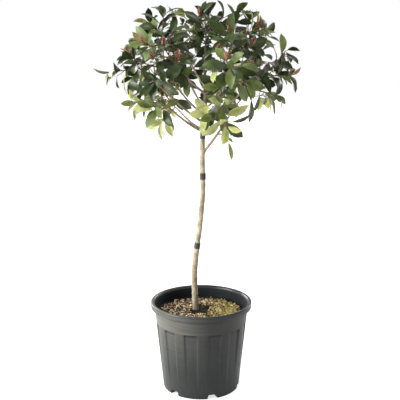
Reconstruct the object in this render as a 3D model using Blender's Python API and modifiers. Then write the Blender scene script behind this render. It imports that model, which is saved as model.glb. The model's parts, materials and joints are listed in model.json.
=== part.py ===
"""A grafted half-standard shrub in a ribbed nursery pot: pot, compost, mulch, stem, boughs and leafy masses."""

import math
import random

import bmesh
import bpy
from mathutils import Matrix, Vector, noise
from mathutils.bvhtree import BVHTree

# Lengths are in metres and angles in degrees. +Z is up, -Y is the side that faces the viewer,
# +X is the viewer's right, and the origin is the middle of the pot's underside.
CLEAR = 0.0003  # the gap that touching pieces keep

# The pot
POT_HEIGHT = 0.263
LIP_RADIUS = 0.150
LIP_DROP = 0.0165
LIP_SKIN = 0.0020
WALL = 0.0022
FLOOR = 0.0026
BASE_RADIUS = 0.1135  # of the wall, carried down to the ground
COLLAR_RADIUS = 0.1384  # of the wall just under the lip
CORNER = 0.0040
FLUTES = 12
FLUTE_DEPTH = 0.0044  # at its top; it runs out to nothing at its foot
FLUTE_TOP = 0.2010
FLUTE_FOOT = 0.030
FLUTE_HALF_ANGLE = 7.2
FLUTE_SIDE_ANGLE = 1.5
FLUTE_PHASE = 17.0  # of one flute's middle, from -Y towards +X
NOTCHES = 6
NOTCH_FOOT_WIDTH = 0.039
NOTCH_TOP_WIDTH = 0.026
NOTCH_HEIGHT = 0.0135
NOTCH_REACH = 0.026
NOTCH_TAPER = 0.0035

# The growing medium
COMPOST_TOP = 0.2210
MULCH_TOP = 0.2285
MULCH_LUMP = 0.0022
BARE_PATCH = {"at": (-0.004, 0.011), "half": (0.033, 0.026), "turn": -14.0}

# The stem: height, x, y and radius
STEM = (
    (COMPOST_TOP + CLEAR, -0.0160, 0.0120, 0.0114),
    (0.2360, -0.0163, 0.0120, 0.0093),
    (0.2900, -0.0192, 0.0110, 0.0087),
    (0.3600, -0.0190, 0.0090, 0.0084),
    (0.4300, -0.0115, 0.0060, 0.0081),
    (0.5080, -0.0022, 0.0020, 0.0079),
    (0.6000, 0.0050, 0.0000, 0.0077),
    (0.6950, 0.0030, -0.0010, 0.0076),
    (0.7640, 0.0050, 0.0000, 0.0065),
    (0.8400, 0.0114, 0.0020, 0.0052),
    (0.9200, 0.0100, 0.0030, 0.0040),
    (1.0000, 0.0120, 0.0040, 0.0028),
)
FLARE_HEIGHT = 0.006
FLARE_SHARE = 0.88
STEM_STEP = 0.036
STEM_SIDES = 10

# The tape that is wound round the stem: middle height and width of each band
TAPE = {"tape_low": (0.430, 0.018), "tape_middle": (0.637, 0.019), "tape_top": (0.753, 0.017)}
TAPE_BUILD = 0.0013

# Boughs. Each tier's leave the stem at the heights feet in turn, head for azimuths that start
# at azimuth (0 is +X, 90 is away from the viewer), and end at reach from the stem and height tip.
# Each carries a mass with a leader this long, this many side shoots, and leaves that hang this much.
TIERS = (
    {"name": "low", "count": 5, "azimuth": -8.0, "feet": (0.702, 0.778, 0.770, 0.766, 0.782),
     "reach": 0.096, "tip": 0.822, "radius": 0.0043, "leader": 0.100, "lift": 0.35, "shoots": 5, "hang": 0.32},
    {"name": "middle", "count": 6, "azimuth": -6.0, "feet": (0.790, 0.812, 0.832),
     "reach": 0.110, "tip": 0.884, "radius": 0.0038, "leader": 0.128, "lift": 0.18, "shoots": 6, "hang": 0.37},
    {"name": "upper", "count": 4, "azimuth": 32.0, "feet": (0.872, 0.896),
     "reach": 0.094, "tip": 0.961, "radius": 0.0031, "leader": 0.101, "lift": 0.23, "shoots": 6, "hang": 0.06},
)
TOP_MASS = {"name": "top", "leader": 0.044, "lift": 0.0, "shoots": 5, "hang": 0.0}
AZIMUTH_PLAY = 6.0
TIP_PLAY = 0.014
BOUGH_TIP_RADIUS = 0.0022
BOUGH_SAG = 0.006
BOUGH_SIDES = 6
BOUGH_POINTS = 5

# Shoots and leaves
CROWN_HEART = Vector((0.004, 0.0, 0.860))
HEART_REACH = 0.080
SPACE_GAP = 0.0004
LIMB_GAP = 0.0012
LEADER_POINTS = 4
SHOOT_LENGTH = (0.060, 0.088)
SHOOT_SPREAD = (38.0, 58.0)
SHOOT_LIFT = 0.25
SHOOT_BARE = 0.34  # the share of a shoot below its first leaf
LEADER_BARE = 0.57
SHOOT_POINTS = 3
TWIG_RADIUS = 0.0019
TIP_RADIUS = 0.0008
GOLDEN_TURN = 137.5
LEAVES_PER_SHOOT = 6
LEAF_LENGTH = (0.064, 0.082)
LEAF_WIDTH_SHARE = 0.40
LEAF_THICK_SHARE = 0.012
LEAF_FOLD = 0.22
LEAF_OUTLINE = ((0.0, 0.0), (0.30, 0.78), (0.66, 1.0), (1.0, 0.0), (0.66, -1.0), (0.30, -0.78))
LEAF_TRIES = 6
SEED = 120


def clear_scene():
    for old in list(bpy.data.objects):
        bpy.data.objects.remove(old, do_unlink=True)


def add_collection(name):
    made = bpy.data.collections.new(name)
    bpy.context.scene.collection.children.link(made)
    return made


def finish_of(name, colour, roughness):
    made = bpy.data.materials.new(name)
    made.use_nodes = True
    shader = made.node_tree.nodes["Principled BSDF"]
    shader.inputs["Base Color"].default_value = (*colour, 1.0)
    shader.inputs["Roughness"].default_value = roughness
    shader.inputs["Metallic"].default_value = 0.0
    return made


def add_object(name, data, collection):
    made = bpy.data.objects.new(name, data)
    collection.objects.link(made)
    return made


def weld(obj):
    """Joins the points where a curve's caps, or a turned profile's ends, meet its sides."""
    shape = bmesh.new()
    shape.from_mesh(obj.data)
    bmesh.ops.remove_doubles(shape, verts=shape.verts, dist=1e-6)
    bmesh.ops.recalc_face_normals(shape, faces=shape.faces)
    shape.to_mesh(obj.data)
    shape.free()
    return obj


def fix_shape(obj):
    """Replaces obj by the mesh that its modifiers, or its curve, evaluate to."""
    bpy.context.view_layer.update()
    graph = bpy.context.evaluated_depsgraph_get()
    mesh = bpy.data.meshes.new_from_object(obj.evaluated_get(graph))
    name = obj.name
    homes = list(obj.users_collection)
    bpy.data.objects.remove(obj, do_unlink=True)
    made = bpy.data.objects.new(name, mesh)
    for home in homes:
        home.objects.link(made)
    return made


def combine(obj, operation, others):
    """Cuts or joins obj with every object of the collection others."""
    step = obj.modifiers.new(operation.lower(), "BOOLEAN")
    step.operation = operation
    step.operand_type = "COLLECTION"
    step.collection = others
    step.solver = "MANIFOLD"
    made = fix_shape(obj)
    for used in list(others.objects):
        bpy.data.objects.remove(used, do_unlink=True)
    return made


def dress(obj, finish, smooth_to=None):
    """Gives obj its one material, and smooth shading over edges that turn less than smooth_to."""
    obj.data.materials.clear()
    obj.data.materials.append(finish)
    if smooth_to is not None:
        obj.data.shade_smooth()
        obj.data.set_sharp_from_angle(angle=math.radians(smooth_to))


def turned(name, profile, steps, collection, ring=False):
    """A profile of (radius, height) points spun round +Z. It is a ring's closed outline, or ends on the axis."""
    mesh = bpy.data.meshes.new(name)
    edges = [(k, k + 1) for k in range(len(profile) - 1)]
    if ring:
        edges.append((len(profile) - 1, 0))
    mesh.from_pydata([(radius, 0.0, height) for radius, height in profile], edges, [])
    obj = add_object(name, mesh, collection)
    spin = obj.modifiers.new("spin", "SCREW")
    spin.steps = spin.render_steps = steps
    spin.use_merge_vertices = True
    spin.merge_threshold = 1e-5
    return weld(fix_shape(obj))


def tube(name, path, radii, sides, collection):
    """A tapering tube along path. With three sides it takes a triangle as its section."""
    curve = bpy.data.curves.new(name, "CURVE")
    curve.dimensions = "3D"
    curve.use_fill_caps = True
    line = curve.splines.new("POLY")
    line.points.add(len(path) - 1)
    for point, place, radius in zip(line.points, path, radii):
        point.co = (*place, 1.0)
        point.radius = radius * 1000.0
    section = None
    if sides == 3:
        section = triangle_section()
        curve.bevel_mode = "OBJECT"
        curve.bevel_object = section
    else:
        curve.bevel_depth = 0.001
        curve.bevel_resolution = (sides - 4) // 2
    made = weld(fix_shape(add_object(name, curve, collection)))
    if section is not None:
        bpy.data.objects.remove(section, do_unlink=True)
    return made


def triangle_section():
    curve = bpy.data.curves.new("section", "CURVE")
    line = curve.splines.new("POLY")
    line.points.add(2)
    for k, point in enumerate(line.points):
        angle = math.radians(90.0 + 120.0 * k)
        point.co = (0.001 * math.cos(angle), 0.001 * math.sin(angle), 0.0, 1.0)
    line.use_cyclic_u = True
    section = bpy.data.objects.new("section", curve)
    bpy.context.scene.collection.objects.link(section)
    section.hide_render = True
    return section


# The pot


def wall_radius(height):
    """The outside of the pot's plain wall."""
    return BASE_RADIUS + (COLLAR_RADIUS - BASE_RADIUS) * height / (POT_HEIGHT - LIP_DROP)


def flute_share(height):
    """How much of its full depth a flute has at this height: nothing above its ledge or below its foot."""
    if height > FLUTE_TOP:
        return 0.0
    return max(0.0, (height - FLUTE_FOOT) / (FLUTE_TOP - FLUTE_FOOT))


def pot_profile():
    inner = [(0.0, FLOOR), (BASE_RADIUS - WALL - CORNER, FLOOR), (wall_radius(CORNER) - WALL, FLOOR + CORNER)]
    heights = (FLUTE_FOOT, FLUTE_TOP - 0.0001, FLUTE_TOP + 0.0030)
    inner += [(wall_radius(h) - WALL, h) for h in heights]
    lip = [
        (wall_radius(POT_HEIGHT) - WALL, POT_HEIGHT - 0.006),
        (LIP_RADIUS - 0.0090, POT_HEIGHT),
        (LIP_RADIUS - 0.0025, POT_HEIGHT),
        (LIP_RADIUS, POT_HEIGHT - 0.0030),
        (LIP_RADIUS - 0.0006, POT_HEIGHT - LIP_DROP),
        (LIP_RADIUS - 0.0006 - LIP_SKIN, POT_HEIGHT - LIP_DROP),
        (LIP_RADIUS - LIP_SKIN, POT_HEIGHT - 0.0050),
        (wall_radius(POT_HEIGHT), POT_HEIGHT - 0.0065),
    ]
    outer = [(wall_radius(h), h) for h in reversed(heights)]
    foot = [(wall_radius(CORNER), CORNER), (BASE_RADIUS - 0.0012, 0.0011), (BASE_RADIUS - CORNER, 0.0), (0.0, 0.0)]
    return inner + lip + outer + foot


def pot_angles():
    """Where the profile is repeated round one flute, in degrees from its middle."""
    half, side = FLUTE_HALF_ANGLE, FLUTE_SIDE_ANGLE
    return (0.0, half, half + side, 180.0 / FLUTES, -half - side, -half)


def place_on_pot(x, y, height, angles):
    """Moves a point of the evenly turned pot to its flute angle, and in where a flute is sunk."""
    radius = math.hypot(x, y)
    if radius < 1e-6:
        return x, y
    steps = len(angles) * FLUTES
    step = round(math.degrees(math.atan2(y, x)) / (360.0 / steps)) % steps
    flute, part = divmod(step, len(angles))
    angle = math.radians(FLUTE_PHASE - 90.0 + flute * 360.0 / FLUTES + angles[part] % (360.0 / FLUTES))
    sunk = abs(angles[part]) <= FLUTE_HALF_ANGLE and radius > BASE_RADIUS - WALL - 2 * CORNER
    if sunk:
        radius -= FLUTE_DEPTH * flute_share(height)
    return radius * math.cos(angle), radius * math.sin(angle)


def notch_block(name, swell, collection):
    """The tapering recess at the pot's foot, as a solid along +X. swell makes it larger all round."""
    shape = bmesh.new()
    bmesh.ops.create_cube(shape, size=1.0)
    for corner in shape.verts:
        inner, high = corner.co.x < 0, corner.co.z > 0
        half = (NOTCH_TOP_WIDTH if high else NOTCH_FOOT_WIDTH) / 2 + swell - (NOTCH_TAPER if inner else 0.0)
        corner.co.x = BASE_RADIUS - NOTCH_REACH - swell if inner else BASE_RADIUS + 0.010
        corner.co.y = math.copysign(half, corner.co.y)
        corner.co.z = NOTCH_HEIGHT + swell if high else -0.010
    mesh = bpy.data.meshes.new(name)
    shape.to_mesh(mesh)
    shape.free()
    return add_object(name, mesh, collection)


def notch_ring(swell, collection):
    for k in range(NOTCHES):
        block = notch_block(f"notch_{k}", swell, collection)
        angle = math.radians(FLUTE_PHASE - 90.0 + k * 360.0 / NOTCHES)
        block.data.transform(Matrix.Rotation(angle, 4, "Z"))


def housings(collection):
    """The floor's humps over the notches, kept inside the wall and above the ground."""
    notch_ring(WALL, collection)
    keep = add_collection("keep")
    profile = [(0.0, POT_HEIGHT * 0.2)]
    profile += [(wall_radius(h) - WALL / 2, h) for h in (POT_HEIGHT * 0.2, CORNER)]
    profile += [(BASE_RADIUS - CORNER, FLOOR / 2), (0.0, FLOOR / 2)]
    for block in list(collection.objects):
        turned("limit", profile, FLUTES * 6, keep)
        combine(block, "INTERSECT", keep)
    bpy.data.collections.remove(keep)


def make_pot(parts, cutters, finish):
    angles = pot_angles()
    pot = turned("pot", pot_profile(), len(angles) * FLUTES, parts)
    for corner in pot.data.vertices:
        corner.co.x, corner.co.y = place_on_pot(*corner.co, angles)
    housings(cutters)
    pot = combine(pot, "UNION", cutters)
    notch_ring(0.0, cutters)
    pot = combine(pot, "DIFFERENCE", cutters)
    dress(pot, finish, 35.0)


def make_compost(parts, cutters, finish):
    """Fills the pot, clear of the flutes' backs and of the humps over the notches."""
    inside = WALL + FLUTE_DEPTH + 3 * CLEAR
    top_radius = wall_radius(COMPOST_TOP) - inside
    profile = [
        (0.0, COMPOST_TOP),
        (top_radius, COMPOST_TOP),
        (wall_radius(FLOOR + CORNER) - inside, FLOOR + CORNER),
        (BASE_RADIUS - inside - CORNER, FLOOR + CLEAR),
        (0.0, FLOOR + CLEAR),
    ]
    compost = turned("compost", profile, 30, parts)
    notch_ring(WALL + CLEAR, cutters)
    compost = combine(compost, "DIFFERENCE", cutters)
    dress(compost, finish)


def make_mulch(parts, cutters, finish):
    """The loose layer on the compost, with the bare patch round the stem's foot."""
    under = COMPOST_TOP + CLEAR
    edge = wall_radius(MULCH_TOP) - WALL - 2 * CLEAR
    rings = 4
    profile = [(0.0, MULCH_TOP)] + [(edge * k / rings, MULCH_TOP) for k in range(1, rings + 1)]
    profile += [(wall_radius(under) - WALL - 2 * CLEAR, under), (0.0, under)]
    mulch = turned("mulch", profile, 24, parts)
    for corner in mulch.data.vertices:
        if corner.co.z > MULCH_TOP - 1e-5:
            lump = noise.noise(corner.co * 60.0)
            mound = 0.0030 * (1.0 - math.hypot(corner.co.x, corner.co.y) / edge)
            corner.co.z += MULCH_LUMP * lump + mound
    shape = bmesh.new()
    bmesh.ops.create_cone(shape, cap_ends=True, segments=20, radius1=1.0, radius2=1.0, depth=0.04)
    mesh = bpy.data.meshes.new("patch")
    shape.to_mesh(mesh)
    shape.free()
    half = BARE_PATCH["half"]
    place = Matrix.Translation((*BARE_PATCH["at"], MULCH_TOP))
    turn = Matrix.Rotation(math.radians(BARE_PATCH["turn"]), 4, "Z")
    mesh.transform(place @ turn @ Matrix.Diagonal((*half, 1.0, 1.0)))
    add_object("patch", mesh, cutters)
    mulch = combine(mulch, "DIFFERENCE", cutters)
    dress(mulch, finish, 60.0)


# The stem and its boughs


def stem_at(height):
    """The stem's middle and its radius at this height, on a smooth curve through its stations."""
    last = len(STEM) - 2
    k = next((n for n in range(last) if height <= STEM[n + 1][0]), last)
    a, b = STEM[k], STEM[k + 1]
    before, after = STEM[max(0, k - 1)], STEM[min(last + 1, k + 2)]
    span = b[0] - a[0]
    t = (height - a[0]) / span
    values = []
    for n in (1, 2, 3):
        slope_a = (b[n] - before[n]) / (b[0] - before[0])
        slope_b = (after[n] - a[n]) / (after[0] - a[0])
        values.append(
            (2 * t**3 - 3 * t**2 + 1) * a[n]
            + (t**3 - 2 * t**2 + t) * span * slope_a
            + (3 * t**2 - 2 * t**3) * b[n]
            + (t**3 - t**2) * span * slope_b
        )
    return Vector((values[0], values[1], height)), values[2]


def stem_path(low, high):
    count = max(2, round((high - low) / STEM_STEP) + 1)
    heights = [low + (high - low) * k / (count - 1) for k in range(count)]
    found = [stem_at(h) for h in heights]
    return [place for place, _ in found], [radius for _, radius in found]


def stem_tube(name, extra, collection):
    """The stem, larger all round by extra. Its foot goes straight down, so that its cut is level."""
    path, radii = stem_path(STEM[1][0], STEM[-1][0])
    foot = Vector((path[0].x, path[0].y, STEM[0][0]))
    base = [foot, foot + Vector((0.0, 0.0, FLARE_HEIGHT))]
    radii = [STEM[0][3], STEM[0][3] * FLARE_SHARE] + radii
    return tube(name, base + path, [radius + extra for radius in radii], STEM_SIDES, collection)


def make_tape(parts, finish):
    """Rings that clear the stem's corners, each square to the stem where it sits."""
    for name, (height, width) in TAPE.items():
        place, radius = stem_at(height)
        inner = (radius + 0.0001 + CLEAR) / math.cos(math.pi / STEM_SIDES)
        outer = inner + TAPE_BUILD
        ends = (width / 2, -width / 2)
        profile = [(inner, ends[1]), (inner, ends[0]), (outer, ends[0]), (outer, ends[1])]
        band = turned(name, profile, STEM_SIDES, parts, ring=True)
        up = stem_at(height + width / 2)[0] - stem_at(height - width / 2)[0]
        band.data.transform(Matrix.Translation(place) @ up.to_track_quat("Z", "Y").to_matrix().to_4x4())
        dress(band, finish, 35.0)


def bough_line(foot, tip):
    """From the stem's middle out and then up to the tip, bowed down between the two."""
    line = []
    for k in range(BOUGH_POINTS):
        t = k / (BOUGH_POINTS - 1)
        place = foot.lerp(tip, t)
        place.z -= BOUGH_SAG * 4 * t * (1 - t)
        line.append(place)
    return line


def plan_limbs():
    """Every bough with its line and radii, and every mass with its start, its heading and its space."""
    rng = random.Random(SEED)
    limbs, masses = [], []
    for tier in TIERS:
        for k in range(tier["count"]):
            turn = tier["azimuth"] + 360.0 * k / tier["count"] + rng.uniform(-AZIMUTH_PLAY, AZIMUTH_PLAY)
            foot, _ = stem_at(tier["feet"][k % len(tier["feet"])])
            reach = tier["reach"] * rng.uniform(0.92, 1.08)
            tip = foot + Matrix.Rotation(math.radians(turn), 3, "Z") @ Vector((reach, 0.0, 0.0))
            tip.z = tier["tip"] + rng.uniform(-TIP_PLAY, TIP_PLAY)
            line = bough_line(foot, tip)
            last = len(line) - 1
            radii = [tier["radius"] + (BOUGH_TIP_RADIUS - tier["radius"]) * n / last for n in range(last + 1)]
            name = f"{tier['name']}_{k + 1}"
            limbs.append({"name": "bough_" + name, "line": line, "radii": radii})
            masses.append(plan_mass("foliage_" + name, line, tier))
    path, radii = stem_path(0.70, STEM[-1][0])
    limbs.append({"name": "stem", "line": path, "radii": radii})
    masses.append(plan_mass("foliage_top", path, TOP_MASS))
    return limbs, masses


def plan_mass(name, limb_line, habit):
    """A mass grows on from the end of its limb. Its space is all that is nearest to its heart."""
    heading = (limb_line[-1] - limb_line[-2]).normalized()
    growth = (heading + (limb_line[-1] - CROWN_HEART).normalized()).normalized()
    start = limb_line[-1] + heading * CLEAR
    return {
        "name": name,
        "leader": growing_line(start, heading, growth, habit["leader"], habit["lift"], LEADER_POINTS),
        "growth": growth,
        "heart": limb_line[-1] + growth * HEART_REACH,
        "shoots": habit["shoots"],
        "hang": habit["hang"],
    }


# The rule that the leafy masses grow by


def growing_line(start, heading, growth, length, lift, points):
    """Sets off along heading, bends to growth, and turns up by lift."""
    line = [start]
    for k in range(1, points):
        t = k / (points - 1)
        way = heading.lerp(growth, t).normalized() + Vector((0.0, 0.0, lift * t))
        line.append(line[-1] + way.normalized() * length / (points - 1))
    return line


def point_on(line, share):
    """The place and the direction at this share of a line."""
    last = len(line) - 1
    k = min(last - 1, int(share * last))
    along = line[k + 1] - line[k]
    return line[k] + along * (share * last - k), along.normalized()


def in_space(place, mass, masses):
    """True where place is nearer to this mass's heart than to any other, with a small gap between."""
    own = (place - mass["heart"]).length_squared
    for other in masses:
        if other is mass:
            continue
        apart = (other["heart"] - mass["heart"]).length
        if ((place - other["heart"]).length_squared - own) / (2 * apart) < SPACE_GAP:
            return False
    return True


def off_limbs(place, radius, limbs):
    """True where a ball of this radius at place touches no limb."""
    for limb in limbs:
        line = limb["line"]
        for a, b, thick in zip(line, line[1:], limb["radii"]):
            along = b - a
            t = min(1.0, max(0.0, (place - a).dot(along) / along.length_squared))
            if (place - a - along * t).length < thick + radius + LIMB_GAP:
                return False
    return True


def leaf_points(leaf):
    """The outline from the root round by the tip, and last the midrib's low point under the blade."""
    length = leaf["length"]
    half = length * LEAF_WIDTH_SHARE / 2
    points = []
    for share, side in LEAF_OUTLINE:
        rise = abs(side) * half * LEAF_FOLD - leaf["droop"] * length * share * share
        place = leaf["along"] * length * share + leaf["across"] * half * side + leaf["up"] * rise
        points.append(leaf["root"] + place)
    rise = -length * (LEAF_THICK_SHARE + leaf["droop"] * 0.25)
    return points + [leaf["root"] + leaf["along"] * length * 0.5 + leaf["up"] * rise]


def leaf_faces():
    """Four faces on top, and six underneath that meet at the midrib. Only three meet at the root."""
    last = len(LEAF_OUTLINE)
    top = [(0, 5, 1), (5, 2, 1), (5, 4, 2), (4, 3, 2)]
    return top + [(k, (k + 1) % last, last) for k in range(last)]


def leaf_fits(leaf, mass, masses, limbs, kept):
    """True for a leaf within the mass's space that touches no limb, no twig and no leaf before it."""
    points = leaf_points(leaf)
    if not all(in_space(place, mass, masses) for place in points[1:]):
        return False
    for edge in points[1:]:
        for share in (0.5, 0.75, 1.0):
            if not off_limbs(points[0].lerp(edge, share), 0.0015, limbs):
                return False
    leaf["tree"] = BVHTree.FromPolygons(points, leaf_faces())
    return not any(leaf["tree"].overlap(other["tree"]) for other in kept)


def leaf_on(place, axis, turn, spread, length, hang, droop):
    """A leaf from place, the middle of a twig along axis, turned round it and spread by these degrees."""
    out = Matrix.Rotation(math.radians(turn), 3, axis) @ axis.orthogonal().normalized()
    along = axis * math.cos(math.radians(spread)) + out * math.sin(math.radians(spread))
    along = (along - Vector((0.0, 0.0, hang))).normalized()
    across = axis.cross(along).normalized()
    up = along.cross(across)
    if up.dot(axis) < 0:
        across, up = -across, -up
    return {"root": place, "along": along, "across": across, "up": up, "length": length, "droop": droop}


def leaves_of(line, low, mass, masses, limbs, kept, rng):
    """Adds to kept the leaves of one shoot, in a spiral from the share low of its line to its tip."""
    turn = rng.uniform(0.0, 360.0)
    for k in range(LEAVES_PER_SHOOT):
        rise = k / (LEAVES_PER_SHOOT - 1)
        place, axis = point_on(line, low + (0.97 - low) * rise)
        turn += GOLDEN_TURN
        length = rng.uniform(*LEAF_LENGTH) * (1.0 - 0.25 * rise)
        droop = rng.uniform(0.08, 0.20)
        for n in range(LEAF_TRIES):
            # A leaf that doesn't fit is tried again further round, and a little shorter.
            aside = turn + (n + 1) // 2 * 24.0 * (-1) ** n
            spread = 80.0 - 42.0 * rise + rng.uniform(-8.0, 8.0)
            leaf = leaf_on(place, axis, aside, spread, length * (1.0 - 0.04 * n), mass["hang"], droop)
            if leaf_fits(leaf, mass, masses, limbs, kept):
                kept.append(leaf)
                break


def grow_mass(mass, masses, limbs, rng):
    """The twigs of one mass, the leader first, each with its line and radii, and its leaves."""
    leader = mass["leader"]
    lines = [leader]
    side = mass["growth"].orthogonal().normalized()
    for k in range(mass["shoots"]):
        turn = math.radians(GOLDEN_TURN * k + rng.uniform(-15.0, 15.0))
        lean = math.radians(rng.uniform(*SHOOT_SPREAD))
        start, axis = point_on(leader, 0.12 + 0.76 * k / mass["shoots"])
        out = Matrix.Rotation(turn, 3, mass["growth"]) @ side
        heading = (axis * math.cos(lean) + out * math.sin(lean)).normalized()
        line = growing_line(start, heading, heading, rng.uniform(*SHOOT_LENGTH), SHOOT_LIFT, SHOOT_POINTS)
        if all(in_space(p, mass, masses) and off_limbs(p, TWIG_RADIUS, limbs) for p in line[1:]):
            lines.append(line)
    twigs = []
    for line in lines:
        first = BOUGH_TIP_RADIUS if line is leader else TWIG_RADIUS
        last = len(line) - 1
        twigs.append({"line": line, "radii": [first + (TIP_RADIUS - first) * n / last for n in range(last + 1)]})
    leaves = []
    for line in reversed(lines):
        low = LEADER_BARE if line is leader else SHOOT_BARE
        others = [twig for twig in twigs if twig["line"] is not line]
        leaves_of(line, low, mass, masses, limbs + others, leaves, rng)
    return twigs, leaves


def outer_shell(obj):
    """Drops what a union seals inside obj, and any scrap that hangs loose from it."""
    shape = bmesh.new()
    shape.from_mesh(obj.data)
    left = set(shape.verts)
    shells = []
    while left:
        shell, edge = set(), [left.pop()]
        while edge:
            vert = edge.pop()
            shell.add(vert)
            for link in vert.link_edges:
                other = link.other_vert(vert)
                if other in left:
                    left.discard(other)
                    edge.append(other)
        shells.append(shell)
    largest = max(shells, key=len)
    bmesh.ops.delete(shape, geom=[v for v in shape.verts if v not in largest], context="VERTS")
    shape.to_mesh(obj.data)
    shape.free()


def make_mass(mass, twigs, leaves, parts, joined, finish):
    core = tube(mass["name"], twigs[0]["line"], twigs[0]["radii"], 3, parts)
    for twig in twigs[1:]:
        tube("twig", twig["line"], twig["radii"], 3, joined)
    for leaf in leaves:
        mesh = bpy.data.meshes.new("leaf")
        mesh.from_pydata(leaf_points(leaf), [], leaf_faces())
        add_object("leaf", mesh, joined)
    core = combine(core, "UNION", joined)
    outer_shell(core)
    dress(core, finish)


def make_boughs(limbs, parts, cutters, finish):
    """Each bough's foot is cut to the stem's surface, a gap clear of it."""
    for limb in limbs:
        if limb["name"] == "stem":
            continue
        bough = tube(limb["name"], limb["line"], limb["radii"], BOUGH_SIDES, parts)
        stem_tube("core", CLEAR, cutters)
        bough = combine(bough, "DIFFERENCE", cutters)
        dress(bough, finish, 35.0)


def main():
    clear_scene()
    parts = add_collection("potted_standard")
    cutters = add_collection("cutters")
    plastic = finish_of("moulded_pot", (0.030, 0.034, 0.034), 0.45)
    peat = finish_of("compost", (0.030, 0.020, 0.012), 0.95)
    chips = finish_of("wood_mulch", (0.42, 0.31, 0.16), 0.90)
    bark = finish_of("bark", (0.36, 0.30, 0.21), 0.85)
    tape = finish_of("tape", (0.035, 0.038, 0.036), 0.60)
    leaf = finish_of("leaf", (0.045, 0.085, 0.025), 0.42)

    make_pot(parts, cutters, plastic)
    make_compost(parts, cutters, peat)
    make_mulch(parts, cutters, chips)
    dress(stem_tube("stem", 0.0, parts), bark, 35.0)
    make_tape(parts, tape)
    limbs, masses = plan_limbs()
    make_boughs(limbs, parts, cutters, bark)
    rng = random.Random(SEED)
    for mass in masses:
        twigs, leaves = grow_mass(mass, masses, limbs, rng)
        make_mass(mass, twigs, leaves, parts, cutters, leaf)
        print(f"{mass['name']}: {len(twigs)} shoots, {len(leaves)} leaves")
    bpy.data.collections.remove(cutters)


main()
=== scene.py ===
import json
import math
import random

import bmesh
import bpy
import numpy as np
from mathutils import Matrix, Vector, noise
from mathutils.bvhtree import BVHTree

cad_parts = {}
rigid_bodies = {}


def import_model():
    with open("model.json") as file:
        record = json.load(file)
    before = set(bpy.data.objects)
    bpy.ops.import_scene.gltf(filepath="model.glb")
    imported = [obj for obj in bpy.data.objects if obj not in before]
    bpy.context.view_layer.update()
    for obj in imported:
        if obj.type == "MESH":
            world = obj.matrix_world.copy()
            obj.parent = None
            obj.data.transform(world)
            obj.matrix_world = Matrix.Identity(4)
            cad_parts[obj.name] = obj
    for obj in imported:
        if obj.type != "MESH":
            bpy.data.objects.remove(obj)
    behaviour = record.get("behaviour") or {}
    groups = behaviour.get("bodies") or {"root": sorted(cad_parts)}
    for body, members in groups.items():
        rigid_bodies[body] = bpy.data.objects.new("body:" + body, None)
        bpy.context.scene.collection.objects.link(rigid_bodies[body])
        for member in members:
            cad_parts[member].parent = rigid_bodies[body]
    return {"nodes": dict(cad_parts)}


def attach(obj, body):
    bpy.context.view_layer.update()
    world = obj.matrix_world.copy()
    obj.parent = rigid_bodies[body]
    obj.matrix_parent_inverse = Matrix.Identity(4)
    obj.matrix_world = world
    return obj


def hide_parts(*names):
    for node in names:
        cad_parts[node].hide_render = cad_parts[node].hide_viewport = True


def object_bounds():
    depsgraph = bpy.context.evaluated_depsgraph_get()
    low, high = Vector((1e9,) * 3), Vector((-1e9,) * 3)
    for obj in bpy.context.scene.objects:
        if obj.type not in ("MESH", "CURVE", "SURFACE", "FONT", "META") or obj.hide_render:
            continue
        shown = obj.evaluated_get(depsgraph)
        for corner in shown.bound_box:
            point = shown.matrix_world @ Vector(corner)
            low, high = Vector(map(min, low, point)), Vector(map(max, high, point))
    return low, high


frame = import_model()
cadBox = [list(corner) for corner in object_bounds()]
print("frame loaded")


# Small tools that every piece uses


def linear(hexColour):
    # an sRGB hex colour as the linear colour that Blender's sockets take
    channels = [int(hexColour[k:k + 2], 16) / 255 for k in (0, 2, 4)]
    return [c / 12.92 if c <= 0.04045 else ((c + 0.055) / 1.055) ** 2.4 for c in channels] + [1.0]


def unit(value):
    return min(1.0, max(0.0, value))


def between(a, b, share):
    return a + (b - a) * share


def newObject(name, data):
    made = bpy.data.objects.new(name, data)
    bpy.context.scene.collection.objects.link(made)
    return made


def feed(tree, node, inputs):
    # an input takes a value, another node's socket, or another node, for its first output in use
    for key, value in inputs.items():
        if isinstance(value, bpy.types.Node):
            value = next(socket for socket in value.outputs if socket.enabled)
        if isinstance(value, bpy.types.NodeSocket):
            tree.links.new(value, node.inputs[key])
        else:
            node.inputs[key].default_value = value


def addNode(tree, kind, inputs=None, stops=(), **settings):
    # one node with its settings and links, and the stops of its ramp
    node = tree.nodes.new(kind)
    for key, value in settings.items():
        setattr(node, key, value)
    feed(tree, node, inputs or {})
    if stops:
        elements = node.color_ramp.elements
        while len(elements) < len(stops):
            elements.new(0.5)
        for element, (place, hexColour) in zip(elements, stops):
            element.position = place
            element.color = linear(hexColour)
    return node


def mask(tree, *parts, operation="MULTIPLY"):
    # parts worked together by one operation: each is a number, a node, or a map range, given as value, low,
    # high and, where they aren't 0 and 1, what low and high turn into
    result = None
    for part in parts:
        if isinstance(part, tuple):
            value, low, high, toLow, toHigh = part if len(part) == 5 else part + (0.0, 1.0)
            part = addNode(tree, "ShaderNodeMapRange", {"Value": value, "From Min": low, "From Max": high,
                                                        "To Min": toLow, "To Max": toHigh})
        if result is None:
            result = part
        else:
            result = addNode(tree, "ShaderNodeMath", {0: result, 1: part}, operation=operation)
    return result


def layered(tree, colour, *layers):
    # a colour with others laid over it, each given as its share and its hex colour
    for share, over in layers:
        colour = addNode(tree, "ShaderNodeMix", {0: share, 6: colour, 7: linear(over)}, data_type="RGBA")
    return colour


def perAxis(scale):
    # one scale for each axis, where only one is given
    return scale if isinstance(scale, tuple) else (scale, scale, scale)


def roughAt(point, scale):
    # how far a rough surface rises or falls at a point, from -1 to 1
    return noise.noise([value * size for value, size in zip(point, perAxis(scale))])


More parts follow.
